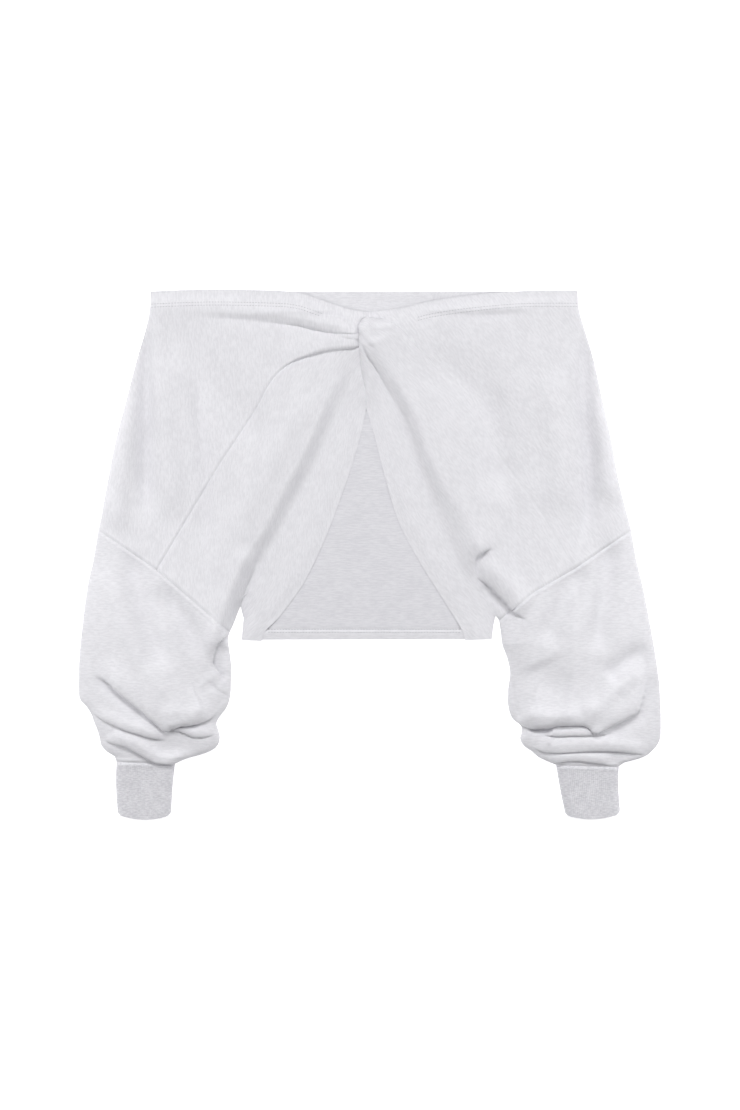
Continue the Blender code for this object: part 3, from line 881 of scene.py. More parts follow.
class Value:
    """A number in a material's nodes, which Python's operators work on."""

    def __init__(self, nodes: "Nodes", socket: bpy.types.NodeSocket) -> None:
        """Keeps the socket and the nodes that it belongs to."""
        self.nodes = nodes
        self.socket = socket

    def _with(self, operation: str, first: "Value | float", second: "Value | float") -> "Value":
        """The result of one Math node on two numbers."""
        made = self.nodes.add("ShaderNodeMath", {"operation": operation}, {0: first, 1: second})
        return Value(self.nodes, made.outputs[0])

    def __add__(self, other: "Value | float") -> "Value":
        """The sum."""
        return self._with("ADD", self, other)

    def __radd__(self, other: float) -> "Value":
        """The sum, with the number first."""
        return self._with("ADD", other, self)

    def __mul__(self, other: "Value | float") -> "Value":
        """The product."""
        return self._with("MULTIPLY", self, other)

    def __rmul__(self, other: float) -> "Value":
        """The product, with the number first."""
        return self._with("MULTIPLY", other, self)

    def least(self, other: "Value | float") -> "Value":
        """The smaller of the two."""
        return self._with("MINIMUM", self, other)

    def between(self, low: float, high: float) -> "Value":
        """A smooth step from 0 at the low value to 1 at the high one."""
        sockets = {"Value": self, "From Min": low, "From Max": high}
        made = self.nodes.add("ShaderNodeMapRange", {"interpolation_type": "SMOOTHSTEP"}, sockets)
        return Value(self.nodes, made.outputs[0])


class Nodes:
    """The nodes of one material."""

    def __init__(self, name: str) -> None:
        """Makes a material of that name with an empty surface shader."""
        self.material = bpy.data.materials.new(name)
        self.material.use_nodes = True
        self.tree = self.material.node_tree
        self.shader = self.tree.nodes["Principled BSDF"]

    def add(
        self, kind: str, settings: dict[str, object], sockets: dict[int | str, object]
    ) -> bpy.types.Node:
        """Adds a node.

        Args:
            kind: The node's type.
            settings: Its own settings, which are set first.
            sockets: A value, a socket or a Value for each input that is named or numbered.

        Returns:
            The node.
        """
        made = self.tree.nodes.new(kind)
        for name, setting in settings.items():
            setattr(made, name, setting)
        for name, given in sockets.items():
            self.feed(made.inputs[name], given)
        return made

    def feed(self, socket: bpy.types.NodeSocket, given: object) -> None:
        """Links a socket or a Value into an input, or sets a plain value there."""
        if isinstance(given, Value):
            given = given.socket
        if isinstance(given, bpy.types.NodeSocket):
            self.tree.links.new(given, socket)
        else:
            socket.default_value = given

    def cloth_places(self) -> bpy.types.NodeSocket:
        """The piece's own map, in metres across and along the grain."""
        return self.add("ShaderNodeUVMap", {"uv_map": CLOTH_MAP}, {}).outputs["UV"]

    def stretched(self, across: float, length: float) -> bpy.types.NodeSocket:
        """The map, scaled so that one unit is the given size in millimetres across and along."""
        sockets = {"Vector": self.cloth_places(), "Scale": (1 / (across * MM), 1 / (length * MM), 1)}
        return self.add("ShaderNodeMapping", {}, sockets).outputs[0]

    def noise(self, places: bpy.types.NodeSocket, detail: float = 2.0, rough: float = 0.5) -> Value:
        """A cloudy pattern whose clouds are about one unit wide."""
        sockets = {"Vector": places, "Scale": 1.0, "Detail": detail, "Roughness": rough}
        return Value(self, self.add("ShaderNodeTexNoise", {}, sockets).outputs[0])

    def mix(self, share: Value | float, first: object, second: object) -> bpy.types.NodeSocket:
        """A blend of two colours."""
        made = self.add("ShaderNodeMix", {"data_type": "RGBA"}, {0: share, 6: first, 7: second})
        return made.outputs[2]

    def bump(
        self, height: Value, depth: float, under: bpy.types.NodeSocket | None = None
    ) -> bpy.types.NodeSocket:
        """The surface direction over a relief of that depth in millimetres."""
        sockets = {"Height": height, "Distance": depth * MM, "Strength": 1.0}
        if under is not None:
            sockets["Normal"] = under
        return self.add("ShaderNodeBump", {}, sockets).outputs[0]

    def finish(self, **sockets: object) -> bpy.types.Material:
        """Feeds the surface shader's inputs, whose names are given with _ for each space."""
        for name, given in sockets.items():
            self.feed(self.shader.inputs[name.replace("_", " ")], given)
        return self.material


class Finish(enum.Enum):
    """The record's material slots."""

    FLEECE = "fleece"
    LOOP_SIDE = "loop_side"
    RIB = "rib"


@dataclass(frozen=True)
class Melange:
    """A knit of light and dark fibres that run along the grain.

    Args:
        name: The material's name.
        light: The colour of the light fibres.
        dark: The colour of the dark fibres.
        streak: The width and length of a streak, in millimetres.
        contrast: How much of the dark colour the streaks take on.
        speck: How much of it small dark specks take on.
        relief: The depth of the knit, in millimetres.
        unevenness: The depth of the soft unevenness, in millimetres.
    """

    name: str
    light: Colour
    dark: Colour
    streak: tuple[float, float] = (2.0, 9.0)
    contrast: float = 0.85
    speck: float = 0.5
    relief: float = 0.10
    unevenness: float = 0.35

    def made(self) -> bpy.types.Material:
        """The material."""
        nodes = Nodes(self.name)
        width, length = self.streak
        streaks = nodes.noise(nodes.stretched(width, length), 3.0, 0.6)
        broad = nodes.noise(nodes.stretched(width * 9, length * 3), 2.0)
        specks = nodes.noise(nodes.stretched(1.2, 2.2), 1.0).between(0.58, 0.75)
        drift = (streaks * 0.75 + broad * 0.25).between(0.36, 0.64)
        shade = (drift * self.contrast + specks * self.speck).least(1.0)
        colour = nodes.mix(shade, self.light, self.dark)
        knit = nodes.noise(nodes.stretched(0.9, 1.4), 1.0)
        waves = nodes.noise(nodes.stretched(26, 34), 2.0)
        normal = nodes.bump(waves, self.unevenness)
        normal = nodes.bump(knit * 0.6 + streaks * 0.4, self.relief, normal)
        return nodes.finish(
            Base_Color=colour, Normal=normal, Roughness=0.95, Sheen_Weight=0.15, Sheen_Roughness=0.6,
            Specular_IOR_Level=0.15,
        )


@dataclass(frozen=True)
class Thread:
    """A smooth spun thread with a fine twist.

    Args:
        name: The material's name.
        light: The colour of its crests: a grey darker than the cloth, partly the thread's own colour and
            partly painted shade of the grooves that the stitches sink into.
        dark: The colour between its strands, painted shade in the grooves of the twist.
        twist: How many strands cross each metre.
        relief: The depth of the twist, in millimetres.
    """

    name: str
    light: Colour
    dark: Colour
    twist: float = 1500.0
    relief: float = 0.05

    def made(self) -> bpy.types.Material:
        """The material."""
        nodes = Nodes(self.name)
        places = nodes.add("ShaderNodeTexCoord", {}, {}).outputs["Object"]
        sockets = {"Vector": places, "Scale": self.twist, "Distortion": 1.5}
        wave = nodes.add("ShaderNodeTexWave", {"bands_direction": "DIAGONAL"}, sockets)
        strands = Value(nodes, wave.outputs[1])
        # Darker between the strands: painted shade in the grooves of the twist.
        colour = nodes.mix(strands * 0.6, self.light, self.dark)
        normal = nodes.bump(strands, self.relief)
        return nodes.finish(Base_Color=colour, Normal=normal, Roughness=0.7, Sheen_Weight=0.1)


# Pieces


def linked(name: str, mesh: bpy.types.Mesh) -> bpy.types.Object:
    """Puts a mesh into the scene as an object of that name."""
    made = bpy.data.objects.new(name, mesh)
    bpy.context.scene.collection.objects.link(made)
    return made


def cloth_mesh(name: str, places: Grid, maps: Maps, closed: bool) -> bpy.types.Object:
    """A skin of rows and columns, as an object with its own map of the cloth.

    Args:
        name: The object's name.
        places: A point for each row and column, in millimetres.
        maps: How far across and along the cloth each point lies, in millimetres.
        closed: Whether its first and last columns are one, as on a tube.

    Returns:
        The object.
    """
    rows, columns = places.shape[:2]
    bm = bmesh.new()
    bmesh.ops.create_grid(bm, x_segments=columns - 1, y_segments=rows - 1, size=0.5)
    mesh = bpy.data.meshes.new(name)
    bm.to_mesh(mesh)
    bm.free()
    at = np.zeros(len(mesh.vertices) * 3)
    mesh.vertices.foreach_get("co", at)
    at = at.reshape(-1, 3)
    column = np.rint((at[:, 0] + 0.5) * (columns - 1)).astype(int)
    row = np.rint((0.5 - at[:, 1]) * (rows - 1)).astype(int)
    mesh.vertices.foreach_set("co", (places[row, column] * MM).ravel())
    corner = np.zeros(len(mesh.loops), int)
    mesh.loops.foreach_get("vertex_index", corner)
    layer = mesh.uv_layers.new(name=CLOTH_MAP)
    across, down = (part[row[corner], column[corner]] * MM for part in maps)
    layer.data.foreach_set("uv", np.stack([across, down], axis=-1).ravel())
    bm = bmesh.new()
    bm.from_mesh(mesh)
    if closed:
        bmesh.ops.remove_doubles(bm, verts=bm.verts, dist=MM / 1000)
    for edge in bm.edges:
        edge.smooth = not edge.is_boundary
    bm.normal_update()
    top = max(bm.faces, key=lambda face: face.calc_center_median().z)
    if top.normal.z < 0:
        bmesh.ops.reverse_faces(bm, faces=bm.faces)
    bm.to_mesh(mesh)
    bm.free()
    mesh.shade_smooth()
    return linked(name, mesh)


def unrolled(places: Grid, middle: int, grain: float) -> Maps:
    """The cloth's own map, laid out flat from one of its columns.

    Args:
        places: A point for each row and column.
        middle: The column that keeps its place.
        grain: The angle that the grain turns by, in degrees.

    Returns:
        How far across and along the grain each point lies.
    """
    steps = np.linalg.norm(np.diff(places, axis=1), axis=2)
    across = np.concatenate([np.zeros((len(places), 1)), np.cumsum(steps, axis=1)], axis=1)
    onward = np.sign((places[:, middle + 1, 0] - places[:, middle - 1, 0]).mean())
    across = across - across[:, middle : middle + 1] + onward * places[:, middle, 0][:, None]
    down = places[:, :, 1]
    turn = math.radians(grain)
    return across * math.cos(turn) - down * math.sin(turn), across * math.sin(turn) + down * math.cos(turn)


@dataclass
class Piece:
    """What each cut piece of the garment has.

    Args:
        side: The side of the garment that it belongs to.
        finish: The material slot of its finish. Not used.
        material: Its material.
        flat: The width and length that it was cut to, in metres. Not used.
        area: The flat area of its cut, in square metres. Not used.
        lie: The lie of the garment's top skin.
        seam_gap: The gap between two pieces at a seam.
        groove: How deep a seam lies in the cloth.
        raglan_groove: How deep the front raglan seam lies in it.
        groove_reach: How far from the seam its groove begins.
        step: The size of the mesh's steps along the cloth.
        cloth: The cloth's thickness.
    """

    side: Side
    finish: Finish
    material: bpy.types.Material
    flat: tuple[float, float]
    area: float
    lie: Lie = field(default_factory=Lie)
    seam_gap: float = 0.0
    groove: float = 1.05
    raglan_groove: float = 0.35
    groove_reach: float = 2.2
    step: float = 1.7
    cloth: float = 0.8

    def node(self) -> str:
        """The CAD node that the piece stands for."""
        raise NotImplementedError

    def sunk(self, x: Grid, y: Grid, seams: list[tuple[Grid, float]]) -> Grid:
        """How far each place lies sunk in the grooves of some seams.

        Args:
            x: The places' first coordinates.
            y: The places' second coordinates.
            seams: Each seam with the depth of its groove.

        Returns:
            The depth at each place.
        """
        depth = np.zeros(x.shape)
        for seam, groove in seams:
            away = np.abs(distance(seam, x, y)[0]) / self.groove_reach
            depth += groove * (1 - ease(away)) - 0.5 * groove * np.exp(-(((away - 1.7) / 0.6) ** 2))
        return depth

    def dress(self, made: bpy.types.Object) -> bpy.types.Object:
        """Gives the piece its wall, its material and its place in the frame."""
        made.data.materials.append(self.material)
        wall = made.modifiers.new("cloth thickness", "SOLIDIFY")
        wall.thickness = self.cloth * MM
        wall.offset = -1.0
        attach(made, BODY)
        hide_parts(self.node())
        log.info("%s: %d faces", made.name, len(made.data.polygons))
        return made


@dataclass
class UpperSleeve(Piece):
    """The raglan upper sleeve, from the back raglan seam round the outer fold to the front raglan seam.

    Args:
        back_columns: How many columns of faces its underside has.
        arc_steps: How many steps its outer fold has above and below its widest point.
        grain: The angle that its grain turns by, in degrees.
    """

    back_columns: int = 24
    arc_steps: int = 6
    grain: float = 0.0

    def node(self) -> str:
        """The CAD node that the piece stands for."""
        return "upper_sleeve_" + self.side.name

    def build(self) -> bpy.types.Object:
        """Models and dresses the piece."""
        side, half = self.side, self.side.turn * self.seam_gap / 2
        corners = np.array(CROSSING, float)
        meets = int(np.argmin(np.hypot(*(corners - side.raglan[0]).T)))
        front = np.vstack([smooth(corners[: meets + 1])[:-1], smooth(side.raglan, 8)])
        size = np.hypot(*np.diff(front, axis=0).T).sum()
        rows = int(size / self.step)
        front = along(front, np.linspace(0, 1, rows + 1))
        raglan = smooth(side.raglan, 8)
        seam = shifted(side.seam, -half)
        share = lengths_along(front)
        edge = along(smooth(side.outer), share)
        edge[-1] = seam[0]
        front[-1] = seam[1]
        back = along(shifted(side.back_raglan, half), share)
        back[-1] = front[-1]
        neck = smooth(side.neck)
        neck[-1] = front[0]

        middle, reach = at_edge("outer_middle", edge[:, 1]), at_edge("outer_reach", edge[:, 1])
        top_size, back_size = np.hypot(*(front - edge).T), np.hypot(*(back - edge).T)
        top_columns = int(top_size.mean() / self.step)
        top_away, back_away = [], []
        for i in range(len(edge)):
            foot, crown = arc_places(middle[i], reach[i], self.arc_steps)
            top_flat = np.linspace(crown[-1], top_size[i], top_columns + 1)[1:]
            back_flat = np.linspace(foot[-1], back_size[i], self.back_columns + 1)[1:]
            top_away.append(np.concatenate([crown, top_flat]))
            back_away.append(np.concatenate([foot, back_flat]))
        top_away, back_away = np.array(top_away), np.array(back_away)
        middle, reach = middle[:, None], reach[:, None]

        top = patch(edge, front, neck, seam[:2], top_away / top_size[:, None])
        x, y = top[..., 0], top[..., 1]
        height, move_x, move_y = self.lie.skin(x, y)
        shape = dome(top_away / reach)
        sunk = self.sunk(x, y, [(raglan, self.raglan_groove), (seam[:2], self.groove)])
        height = middle + (height - middle) * shape - sunk
        hold = shape * ease(np.hypot(*(top - front[:, None]).transpose(2, 0, 1)) / 4)
        top = np.dstack([x + move_x * hold, y + move_y * hold, height])
        under = patch(edge, back, (edge[0], back[0]), (edge[-1], back[-1]), back_away / back_size[:, None])
        low = foot_height(back_away, middle)
        places = np.concatenate([np.dstack([under, low])[:, :0:-1], top], axis=1)
        maps = unrolled(places, places.shape[1] - 1 - top_columns // 2, self.grain)
        return self.dress(cloth_mesh("upper_sleeve_cloth_" + side.name, places, maps, closed=False))


@dataclass
class FrontPanel(Piece):
    """The batwing front, from the raglan seam to the edge of the front opening.

    Args:
        side_slope: How far from the side seam the cloth has its full height.
        grain: The angle that its grain turns by, in degrees.
    """

    side_slope: float = 18.0
    grain: float = 0.0

    def node(self) -> str:
        """The CAD node that the piece stands for."""
        return "front_" + self.side.name

    def build(self) -> bpy.types.Object:
        """Models and dresses the piece."""
        side, half = self.side, self.side.turn * self.seam_gap / 2
        raglan = smooth(side.raglan, 8)
        rows = int(np.hypot(*np.diff(smooth(side.opening), axis=0).T).sum() / self.step)
        first = shifted(along(raglan, np.linspace(0, 1, rows + 1)), -half)
        corners = np.array(CROSSING, float)
        meets = int(np.argmin(np.hypot(*(corners - side.raglan[0]).T)))
        start = shifted(corners[meets:], half)
        seam = shifted(side.seam[1:], -half)
        last = along(smooth(side.opening), np.linspace(0, 1, rows + 1))
        end = np.vstack([seam, side.armpit[1:], side.side_seam[1:], side.opening[-1:]])
        first[0], first[-1] = start[0], end[0]
        last[0] = start[-1]
        columns = int(0.75 * np.hypot(*(end[-1] - end[0])) / self.step)
        begin, finish = spread(start, columns), spread(end, columns)
        down = np.linspace(0, 1, rows + 1)[:, None]
        shares = (1 - down) * begin + down * finish
        flat = patch(first, last, start, end, shares)
        x, y = flat[..., 0], flat[..., 1]
        away = np.abs(distance(np.array(side.armpit + side.side_seam[1:], float), x, y)[0])
        base = self.lie.edge_height(y)
        height, move_x, move_y = self.lie.skin(x, y)
        shape = dome(away / self.side_slope)
        sunk = self.sunk(x, y, [(first, self.raglan_groove), (seam, self.groove)])
        height = base + (height - base) * shape - sunk
        hold = shape * ease(np.abs(distance(first, x, y)[0]) / 4)
        places = np.dstack([x + move_x * hold, y + move_y * hold, height])
        maps = unrolled(places, columns // 2, self.grain)
        return self.dress(cloth_mesh("front_cloth_" + side.name, places, maps, closed=False))


@dataclass
class Tube(Piece):
    """A tube that lies flat.

    Args:
        arc_steps: How many steps its folds have above and below their widest point.
        back_columns: How many columns of faces its underside has.
        top_columns: How many its top has.
    """

    arc_steps: int = 7
    back_columns: int = 24
    top_columns: int = 96

    def rows(self) -> Grid:
        """The outer-to-inner lines of its rows."""
        raise NotImplementedError

    def places(self) -> Grid:
        """The points of the tube's outer skin, with its first column repeated at its end."""
        made = []
        for row in self.rows():
            row = self.curved(row)
            outer_y, inner_y = row[0, 1], row[-1, 1]
            size = np.hypot(*np.diff(row, axis=0).T).sum()
            outer_middle, inner_middle = at_edge("outer_middle", outer_y), at_edge("inner_middle", inner_y)
            outer_reach, inner_reach = at_edge("outer_reach", outer_y), at_edge("inner_reach", inner_y)
            outer_foot, outer_crown = arc_places(outer_middle, outer_reach, self.arc_steps)
            inner_foot, inner_crown = arc_places(inner_middle, inner_reach, self.arc_steps)
            flat = np.linspace(outer_crown[-1], size - inner_crown[-1], self.top_columns + 1)[1:-1]
            top_away = np.concatenate([outer_crown, flat, (size - inner_crown)[::-1]])
            flat = np.linspace(size - inner_foot[-1], outer_foot[-1], self.back_columns + 1)[1:-1]
            back_away = np.concatenate([(size - inner_foot)[1:], flat, outer_foot[:0:-1]])
            middle = np.interp(top_away, [0, size], [outer_middle, inner_middle])
            shape = dome(top_away / outer_crown[-1]) * dome((size - top_away) / inner_crown[-1])
            under = along(row, back_away / size)
            low = np.maximum(
                foot_height(back_away, outer_foot[-1]),
                foot_height(size - back_away, inner_foot[-1]),
            )
            top = np.column_stack([along(row, top_away / size), middle, shape])
            made.append((top, np.column_stack([under, low])))
        top = np.array([row[0] for row in made])
        under = np.array([row[1] for row in made])
        x, y, middle, shape = (top[..., i] for i in range(4))
        height, move_x, move_y = self.lie.skin(x, y)
        height = middle + (height - middle) * shape
        hold = shape * self.held_rows(len(top))[:, None]
        height -= self.sunk(x, y, [(seam, self.groove) for seam in self.seams()])
        top = np.dstack([x + move_x * hold, y + move_y * hold, height])
        whole = np.concatenate([top, under], axis=1)
        return np.concatenate([whole, whole[:, :1]], axis=1)

    def curved(self, row: Grid) -> Grid:
        """One of its rows with its own curve."""
        return row

    def seams(self) -> list[Grid]:
        """The seams at its ends."""
        raise NotImplementedError

    def held_rows(self, count: int) -> Grid:
        """How free each row is to lean: not at all at both ends."""
        row = np.arange(count)
        return ease(np.minimum(row, count - 1 - row) / 3)


@dataclass
class LowerSleeve(Tube):
    """The full lower sleeve, from the slanted sleeve seam to the gathers above the cuff.

    Args:
        grain: The angle that its grain turns by, in degrees.
    """

    arc_steps: int = 16
    grain: float = 90.0

    def node(self) -> str:
        """The CAD node that the piece stands for."""
        return "lower_sleeve_" + self.side.name

    def seam(self) -> Grid:
        """The slanted seam at its upper end."""
        return shifted(self.side.seam, self.side.turn * self.seam_gap / 2)

    def seams(self) -> list[Grid]:
        """The seams at its ends."""
        return [self.seam(), shifted(self.side.sections[-1], self.side.turn * -self.seam_gap / 2)]

    def rows(self) -> Grid:
        """The outer-to-inner lines of its rows."""
        upper, lower = self.seams()
        outer = np.vstack([upper[0], [s[0] for s in self.side.sections[:-1]], lower[0]])
        inner = np.vstack([upper[-1], [s[-1] for s in self.side.sections[:-1]], lower[-1]])
        gaps = np.maximum(np.hypot(*np.diff(outer, axis=0).T), np.hypot(*np.diff(inner, axis=0).T))
        counts = [max(2, int(round(gap / self.step))) for gap in gaps]
        outer_line, inner_line = smooth(outer, counts), smooth(inner, counts)
        share = np.linspace(0, 1, 40)
        bent = along(upper, share) - np.outer(1 - share, upper[0]) - np.outer(share, upper[-1])
        made = []
        for i, (first, last) in enumerate(zip(outer_line, inner_line, strict=True)):
            bow = max(0.0, 1 - i / (2 * counts[0])) ** 1.5
            made.append(np.outer(1 - share, first) + np.outer(share, last) + bow * bent)
        return np.array(made)

    def build(self) -> bpy.types.Object:
        """Models and dresses the piece."""
        places = self.places()
        maps = unrolled(places, self.arc_steps + self.top_columns // 2, self.grain)
        return self.dress(cloth_mesh("lower_sleeve_cloth_" + self.side.name, places, maps, closed=True))


@dataclass
class Cuff(Tube):
    """The rib cuff, with its ribs raised over its top and its rounded folds.

    Args:
        bow: How far its end bows down.
        corner: How far its end's corners round up.
        corner_share: Where a corner begins, as a share of the half width.
        rib_columns: How many columns of faces a rib takes.
        rib_rise: How far the ribs stand up.
        grain: The angle that its grain turns by, in degrees.
    """

    bow: float = 6.0
    corner: float = 3.0
    corner_share: float = 0.86
    rib_columns: int = 6
    rib_rise: float = 0.12
    back_columns: int = 126
    top_columns: int = 126
    grain: float = 90.0

    def node(self) -> str:
        """The CAD node that the piece stands for."""
        return "cuff_" + self.side.name

    def curved(self, row: Grid) -> Grid:
        """One of its rows, which bows down towards the cuff's end and rounds off at both sides."""
        top, end = self.side.cuff[0][0][1], self.side.cuff[-1][0][1]
        share = np.linspace(0, 1, 33)
        points = along(row, share)
        along_cuff = ease((top - row[0, 1]) / (top - end))
        out = np.abs(2 * share - 1)
        bow = self.bow * (1 - out**2) - 0.45 * self.bow
        corner = self.corner * np.maximum(0, out - self.corner_share) / (1 - self.corner_share)
        points[:, 1] -= along_cuff * bow - along_cuff**6 * corner
        return points

    def seams(self) -> list[Grid]:
        """The seam at its upper end."""
        return [shifted(self.side.cuff[0], self.side.turn * self.seam_gap / 2)]

    def rows(self) -> Grid:
        """The outer-to-inner lines of its rows."""
        lines = np.array([self.seams()[0], *self.side.cuff[1:]], float)
        gaps = np.hypot(*np.diff(lines[:, 0], axis=0).T)
        counts = [int(round(gap / self.step)) for gap in gaps]
        outer_line, inner_line = smooth(lines[:, 0], counts), smooth(lines[:, 1], counts)
        return np.stack([outer_line, inner_line], axis=1)

    def build(self) -> bpy.types.Object:
        """Models and dresses the piece."""
        places = self.places()
        column = np.arange(places.shape[1])
        wave = np.cos(column / self.rib_columns * 2 * math.pi)
        top_end = 2 * self.arc_steps + self.top_columns
        places[:, :top_end, 2] += self.rib_rise * wave[:top_end]
        maps = unrolled(places, self.arc_steps + self.top_columns // 2, self.grain)
        return self.dress(cloth_mesh("cuff_cloth_" + self.side.name, places, maps, closed=True))


@dataclass
class BackPanel:
    """The back, flat on the surface, with its turned hems raised on the inside that shows.

    Args:
        material: The material of its inner side.
        hem_material: The material of its turned hems and of its outer side.
        flat: The width and length that it was cut to, in metres. Not used.
        area: The flat area of its cut, in square metres. Not used.
        cloth: The cloth's thickness.
        hem: The thickness of a turned hem.
        hem_top: Where the bottom hem begins.
        neck_hem: The depth of the neck's hem.
        step: The size of the mesh's steps.
        slope: How softly a hem's edge rises.
        wave: The depth of the soft unevenness.
        hem_roll: How far the bottom hem rounds down to its edge.
        roll_start: How far below its top it begins to.
        roll_reach: How much further down it has.
        hem_dip: How deep its top edge pulls in.
        dip_start: How far above its top the dip is deepest.
        dip_reach: How far the dip reaches on each side.
        seam_gap: The gap between two pieces at a seam.
    """

    material: bpy.types.Material
    hem_material: bpy.types.Material
    flat: tuple[float, float] = (0.53, 0.44)
    area: float = 0.15
    cloth: float = 1.2
    hem: float = 2.4
    hem_top: float = -93.5
    neck_hem: float = 27.0
    step: float = 5.0
    slope: float = 2.0
    wave: float = 0.15
    hem_roll: float = 1.1
    roll_start: float = 4.0
    roll_reach: float = 10.0
    hem_dip: float = 0.5
    dip_start: float = 1.0
    dip_reach: float = 1.2
    seam_gap: float = 0.3

    def outline(self) -> Grid:
        """The panel's outline."""
        half = self.seam_gap / 2
        left, right = (
            np.vstack(
                [
                    shifted(side.back_raglan, side.turn * -half),
                    shifted(side.seam[1:], side.turn * -half)[1:],
                    side.armpit[1:],
                    side.side_seam[1:],
                ]
            )
            for side in (LEFT, RIGHT)
        )
        return np.vstack([left, right[::-1]])

    def height(self, x: float, y: float) -> float:
        """The height of the inner side at a place."""
        neck_line = LEFT.back_raglan[0][1] - self.neck_hem
        in_hem = max(ease((self.hem_top - y) / self.slope), ease((y - neck_line) / self.slope))
        wave = self.wave * math.sin(x / 31 + y / 57) * math.cos(y / 23 - x / 90)
        rolled = self.hem_roll * ease((self.hem_top - self.roll_start - y) / self.roll_reach)
        dip = self.hem_dip * math.exp(-(((y - self.hem_top - self.dip_start) / self.dip_reach) ** 2))
        height = self.cloth - self.wave + wave * (1 - in_hem) + (self.hem - self.cloth) * in_hem
        return height - rolled - dip

    def build(self) -> bpy.types.Object:
        """Models and dresses the piece."""
        outline = self.outline()
        bm = bmesh.new()
        bm.faces.new([bm.verts.new((x * MM, y * MM, 0)) for x, y in outline])
        low, high = outline.min(axis=0), outline.max(axis=0)
        neck_line = LEFT.back_raglan[0][1] - self.neck_hem
        extra = [self.hem_top + more for more in (3, 2, 1, 0, -self.slope, -4, -6, -9, -11.5)]
        extra += [neck_line, neck_line + self.slope]
        for axis, normal in ((0, (1, 0, 0)), (1, (0, 1, 0))):
            cuts = list(np.arange(low[axis] + self.step, high[axis], self.step)) + (extra if axis else [])
            for cut in cuts:
                point = (cut * MM if axis == 0 else 0, cut * MM if axis else 0, 0)
                geometry = bm.verts[:] + bm.edges[:] + bm.faces[:]
                bmesh.ops.bisect_plane(bm, geom=geometry, plane_co=point, plane_no=normal)
        raised = bmesh.ops.extrude_face_region(bm, geom=bm.faces[:])
        for vert in (part for part in raised["geom"] if isinstance(part, bmesh.types.BMVert)):
            vert.co.z = self.height(vert.co.x / MM, vert.co.y / MM) * MM
        bmesh.ops.recalc_face_normals(bm, faces=bm.faces)
        layer = bm.loops.layers.uv.new(CLOTH_MAP)
        for face in bm.faces:
            y = face.calc_center_median().y / MM
            face.material_index = int(face.normal.z < 0.5 or not self.hem_top < y < neck_line)
            for loop in face.loops:
                loop[layer].uv = (loop.vert.co.y, loop.vert.co.x)
        mesh = bpy.data.meshes.new("back_cloth")
        bm.to_mesh(mesh)
        bm.free()
        mesh.shade_smooth()
        mesh.set_sharp_from_angle(angle=math.radians(50))
        made = linked("back_cloth", mesh)
        made.data.materials.append(self.material)
        made.data.materials.append(self.hem_material)
        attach(made, BODY)
        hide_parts("back")
        log.info("%s: %d faces", made.name, len(mesh.polygons))
        return made


@dataclass
class Stitching:
    """Two rows of stitches that hold a turned hem down.

    Args:
        name: The piece's name.
        line: The line that the first row follows.
        on: The piece that it is sewn on.
        finish: The material slot of its finish. Not used.
        material: The thread's material.
        gauge: The gap between the two rows.
        pitch: The distance from one stitch to the next.
        size: The length, width and height of a stitch.
        above: The height from which each stitch looks down for the cloth.
        proud: How far a stitch's middle stands out of the cloth.
    """

    name: str
    line: Grid
    on: bpy.types.Object
    finish: Finish
    material: bpy.types.Material
    gauge: float = 3.5
    pitch: float = 3.6
    size: tuple[float, float, float] = (2.9, 0.75, 0.6)
    above: float = 100.0
    proud: float = 0.05

    def build(self) -> bpy.types.Object:
        """Models and dresses the rows."""
        surface = BVHTree.FromObject(self.on, bpy.context.evaluated_depsgraph_get())
        down = Vector((0, 0, -1))
        bm = bmesh.new()
        for row in (self.line, shifted(self.line, self.gauge)):
            size = np.hypot(*np.diff(row, axis=0).T).sum()
            places = along(row, (np.arange(int(size / self.pitch)) + 0.5) * self.pitch / size)
            for i, (x, y) in enumerate(places):
                ahead = places[min(i + 1, len(places) - 1)] - places[max(i - 1, 0)]
                found, normal, _, _ = surface.ray_cast(Vector((x, y, self.above)) * MM, down)
                if found is None:
                    continue
                turned = Matrix.Rotation(math.atan2(ahead[1], ahead[0]), 4, "Z")
                tilted = Vector((0, 0, 1)).rotation_difference(normal).to_matrix().to_4x4()
                scaled = Matrix.Diagonal([part * MM / 2 for part in self.size] + [1])
                placed = Matrix.Translation(found + normal * self.proud * MM) @ tilted @ turned @ scaled
                bmesh.ops.create_icosphere(bm, subdivisions=1, radius=1, matrix=placed)
        mesh = bpy.data.meshes.new(self.name)
        bm.to_mesh(mesh)
        bm.free()
        mesh.shade_smooth()
        made = linked(self.name, mesh)
        made.data.materials.append(self.material)
        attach(made, BODY)
        log.info("%s: %d faces", made.name, len(mesh.polygons))
        return made


# The studio


@dataclass(frozen=True)
class Lamp:
    """A broad soft light that faces the garment.

    Args:
        name: What it is.
        place: Where it stands, in metres.
        aim: Where it points, in metres.
        size: Its width and height, in metres.
        power: Its power, in watts.
    """

    name: str
    place: tuple[float, float, float]
    aim: tuple[float, float, float]
    size: tuple[float, float]
    power: float

    def build(self) -> None:
        """Sets up the light."""
        made = bpy.data.lights.new(self.name, "AREA")
        made.shape = "RECTANGLE"
        made.size, made.size_y = self.size
        made.energy = self.power
        placed = bpy.data.objects.new(self.name, made)
        placed.location = self.place
        placed.rotation_euler = (Vector(self.aim) - Vector(self.place)).to_track_quat("-Z", "Y").to_euler()
        bpy.context.scene.collection.objects.link(placed)


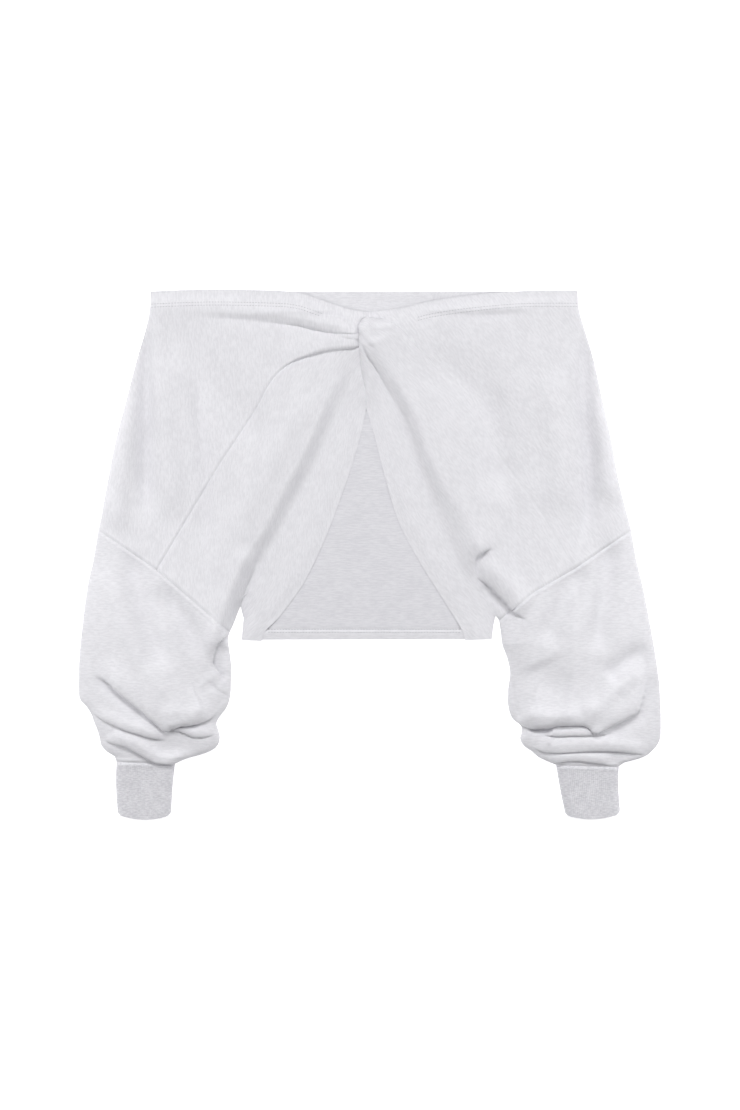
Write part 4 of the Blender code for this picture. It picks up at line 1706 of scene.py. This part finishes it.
@dataclass
class Studio:
    """The pale floor, the soft lights and the camera that looks straight down.

    Args:
        lens: The camera's focal length, in millimetres.
        camera_height: How high the camera stands, in metres.
        sky: The strength of the light from all round.
        lamps: The soft lights.
    """

    lens: float = 85.0
    camera_height: float = 3.276
    sky: float = 0.26
    lamps: tuple[Lamp, ...] = (
        Lamp("top light", (0, 3.0, 3.8), (0, 0, 0), (2.6, 1.0), 107.0),
        Lamp("left light", (-1.05, 0.1, 0.8), (-0.25, 0, 0), (0.4, 1.3), 5.8),
        Lamp("right light", (1.05, 0.1, 0.8), (0.25, 0, 0), (0.4, 1.3), 5.8),
    )

    def camera(self) -> None:
        """Sets up the camera."""
        made = bpy.data.cameras.new("camera")
        made.lens = self.lens
        made.sensor_width = 36.0
        placed = bpy.data.objects.new("camera", made)
        placed.location = (0, 0, self.camera_height)
        bpy.context.scene.collection.objects.link(placed)
        bpy.context.scene.camera = placed

    def floor(self) -> None:
        """Makes the pale floor."""
        bm = bmesh.new()
        bmesh.ops.create_grid(bm, x_segments=1, y_segments=1, size=4.0)
        bmesh.ops.translate(bm, verts=bm.verts, vec=(0, 0, -0.2 * MM))
        mesh = bpy.data.meshes.new("floor")
        bm.to_mesh(mesh)
        bm.free()
        nodes = Nodes("floor")
        white = (0.95, 0.95, 0.95, 1.0)
        nodes.finish(Base_Color=white, Roughness=1.0, Emission_Color=white, Emission_Strength=0.75)
        mesh.materials.append(nodes.material)
        linked("floor", mesh)

    def lights(self) -> None:
        """Makes the soft lights and the light from all round."""
        for lamp in self.lamps:
            lamp.build()
        world = bpy.data.worlds.new("sky")
        world.use_nodes = True
        shown = world.node_tree.nodes["Background"]
        shown.inputs["Color"].default_value = (0.985, 0.985, 1.0, 1.0)
        shown.inputs["Strength"].default_value = self.sky
        bpy.context.scene.world = world

    def build(self) -> None:
        """Sets up the floor, the lights and the camera."""
        self.floor()
        self.lights()
        self.camera()
        bpy.context.scene.view_settings.view_transform = "Standard"


def main() -> None:
    """Builds the studio and each piece in order."""
    logging.basicConfig(level=logging.INFO, format="%(message)s")
    Studio().build()
    fleece = Melange("melange_fleece", (0.825, 0.82, 0.85, 1.0), (0.73, 0.725, 0.755, 1.0)).made()
    loops = Melange(
        "melange_loop_side", (0.765, 0.76, 0.79, 1.0), (0.67, 0.665, 0.70, 1.0), streak=(1.7, 11.0)
    ).made()
    rib = Melange(
        "melange_rib", (0.80, 0.795, 0.825, 1.0), (0.60, 0.595, 0.63, 1.0), streak=(1.4, 5.0), speck=0.4
    ).made()
    # The thread's grey, darker than the cloth, is partly its own colour and partly painted shade of the
    # stitch grooves.
    thread = Thread("thread", (0.52, 0.515, 0.545, 1.0), (0.36, 0.355, 0.38, 1.0)).made()
    back = BackPanel(loops, fleece).build()
    for side, slant, groove in ((LEFT, LEFT_GRAIN, LEFT_RAGLAN), (RIGHT, RIGHT_GRAIN, RIGHT_RAGLAN)):
        upper = UpperSleeve(
            side, Finish.FLEECE, fleece, (0.40, 0.42), 0.104, grain=slant, raglan_groove=groove
        ).build()
        FrontPanel(
            side, Finish.FLEECE, fleece, (0.22, 0.42), 0.053, grain=slant, raglan_groove=groove
        ).build()
        LowerSleeve(side, Finish.FLEECE, fleece, (0.42, 0.30), 0.09).build()
        Cuff(side, Finish.RIB, rib, (0.16, 0.08), 0.0128).build()
        edge = smooth(side.neck)
        line = shifted(edge[edge[:, 0] * side.turn > NECK_HEM_START], side.turn * NECK_HEM)
        gauge = side.turn * NECK_GAUGE
        Stitching("neck_stitching_" + side.name, line, upper, Finish.FLEECE, thread, gauge).build()
    hem = np.array([(end, HEM_ROW) for end in HEM_ENDS])
    Stitching("hem_stitching", hem, back, Finish.LOOP_SIDE, thread).build()


if __name__ == "__main__":
    main()
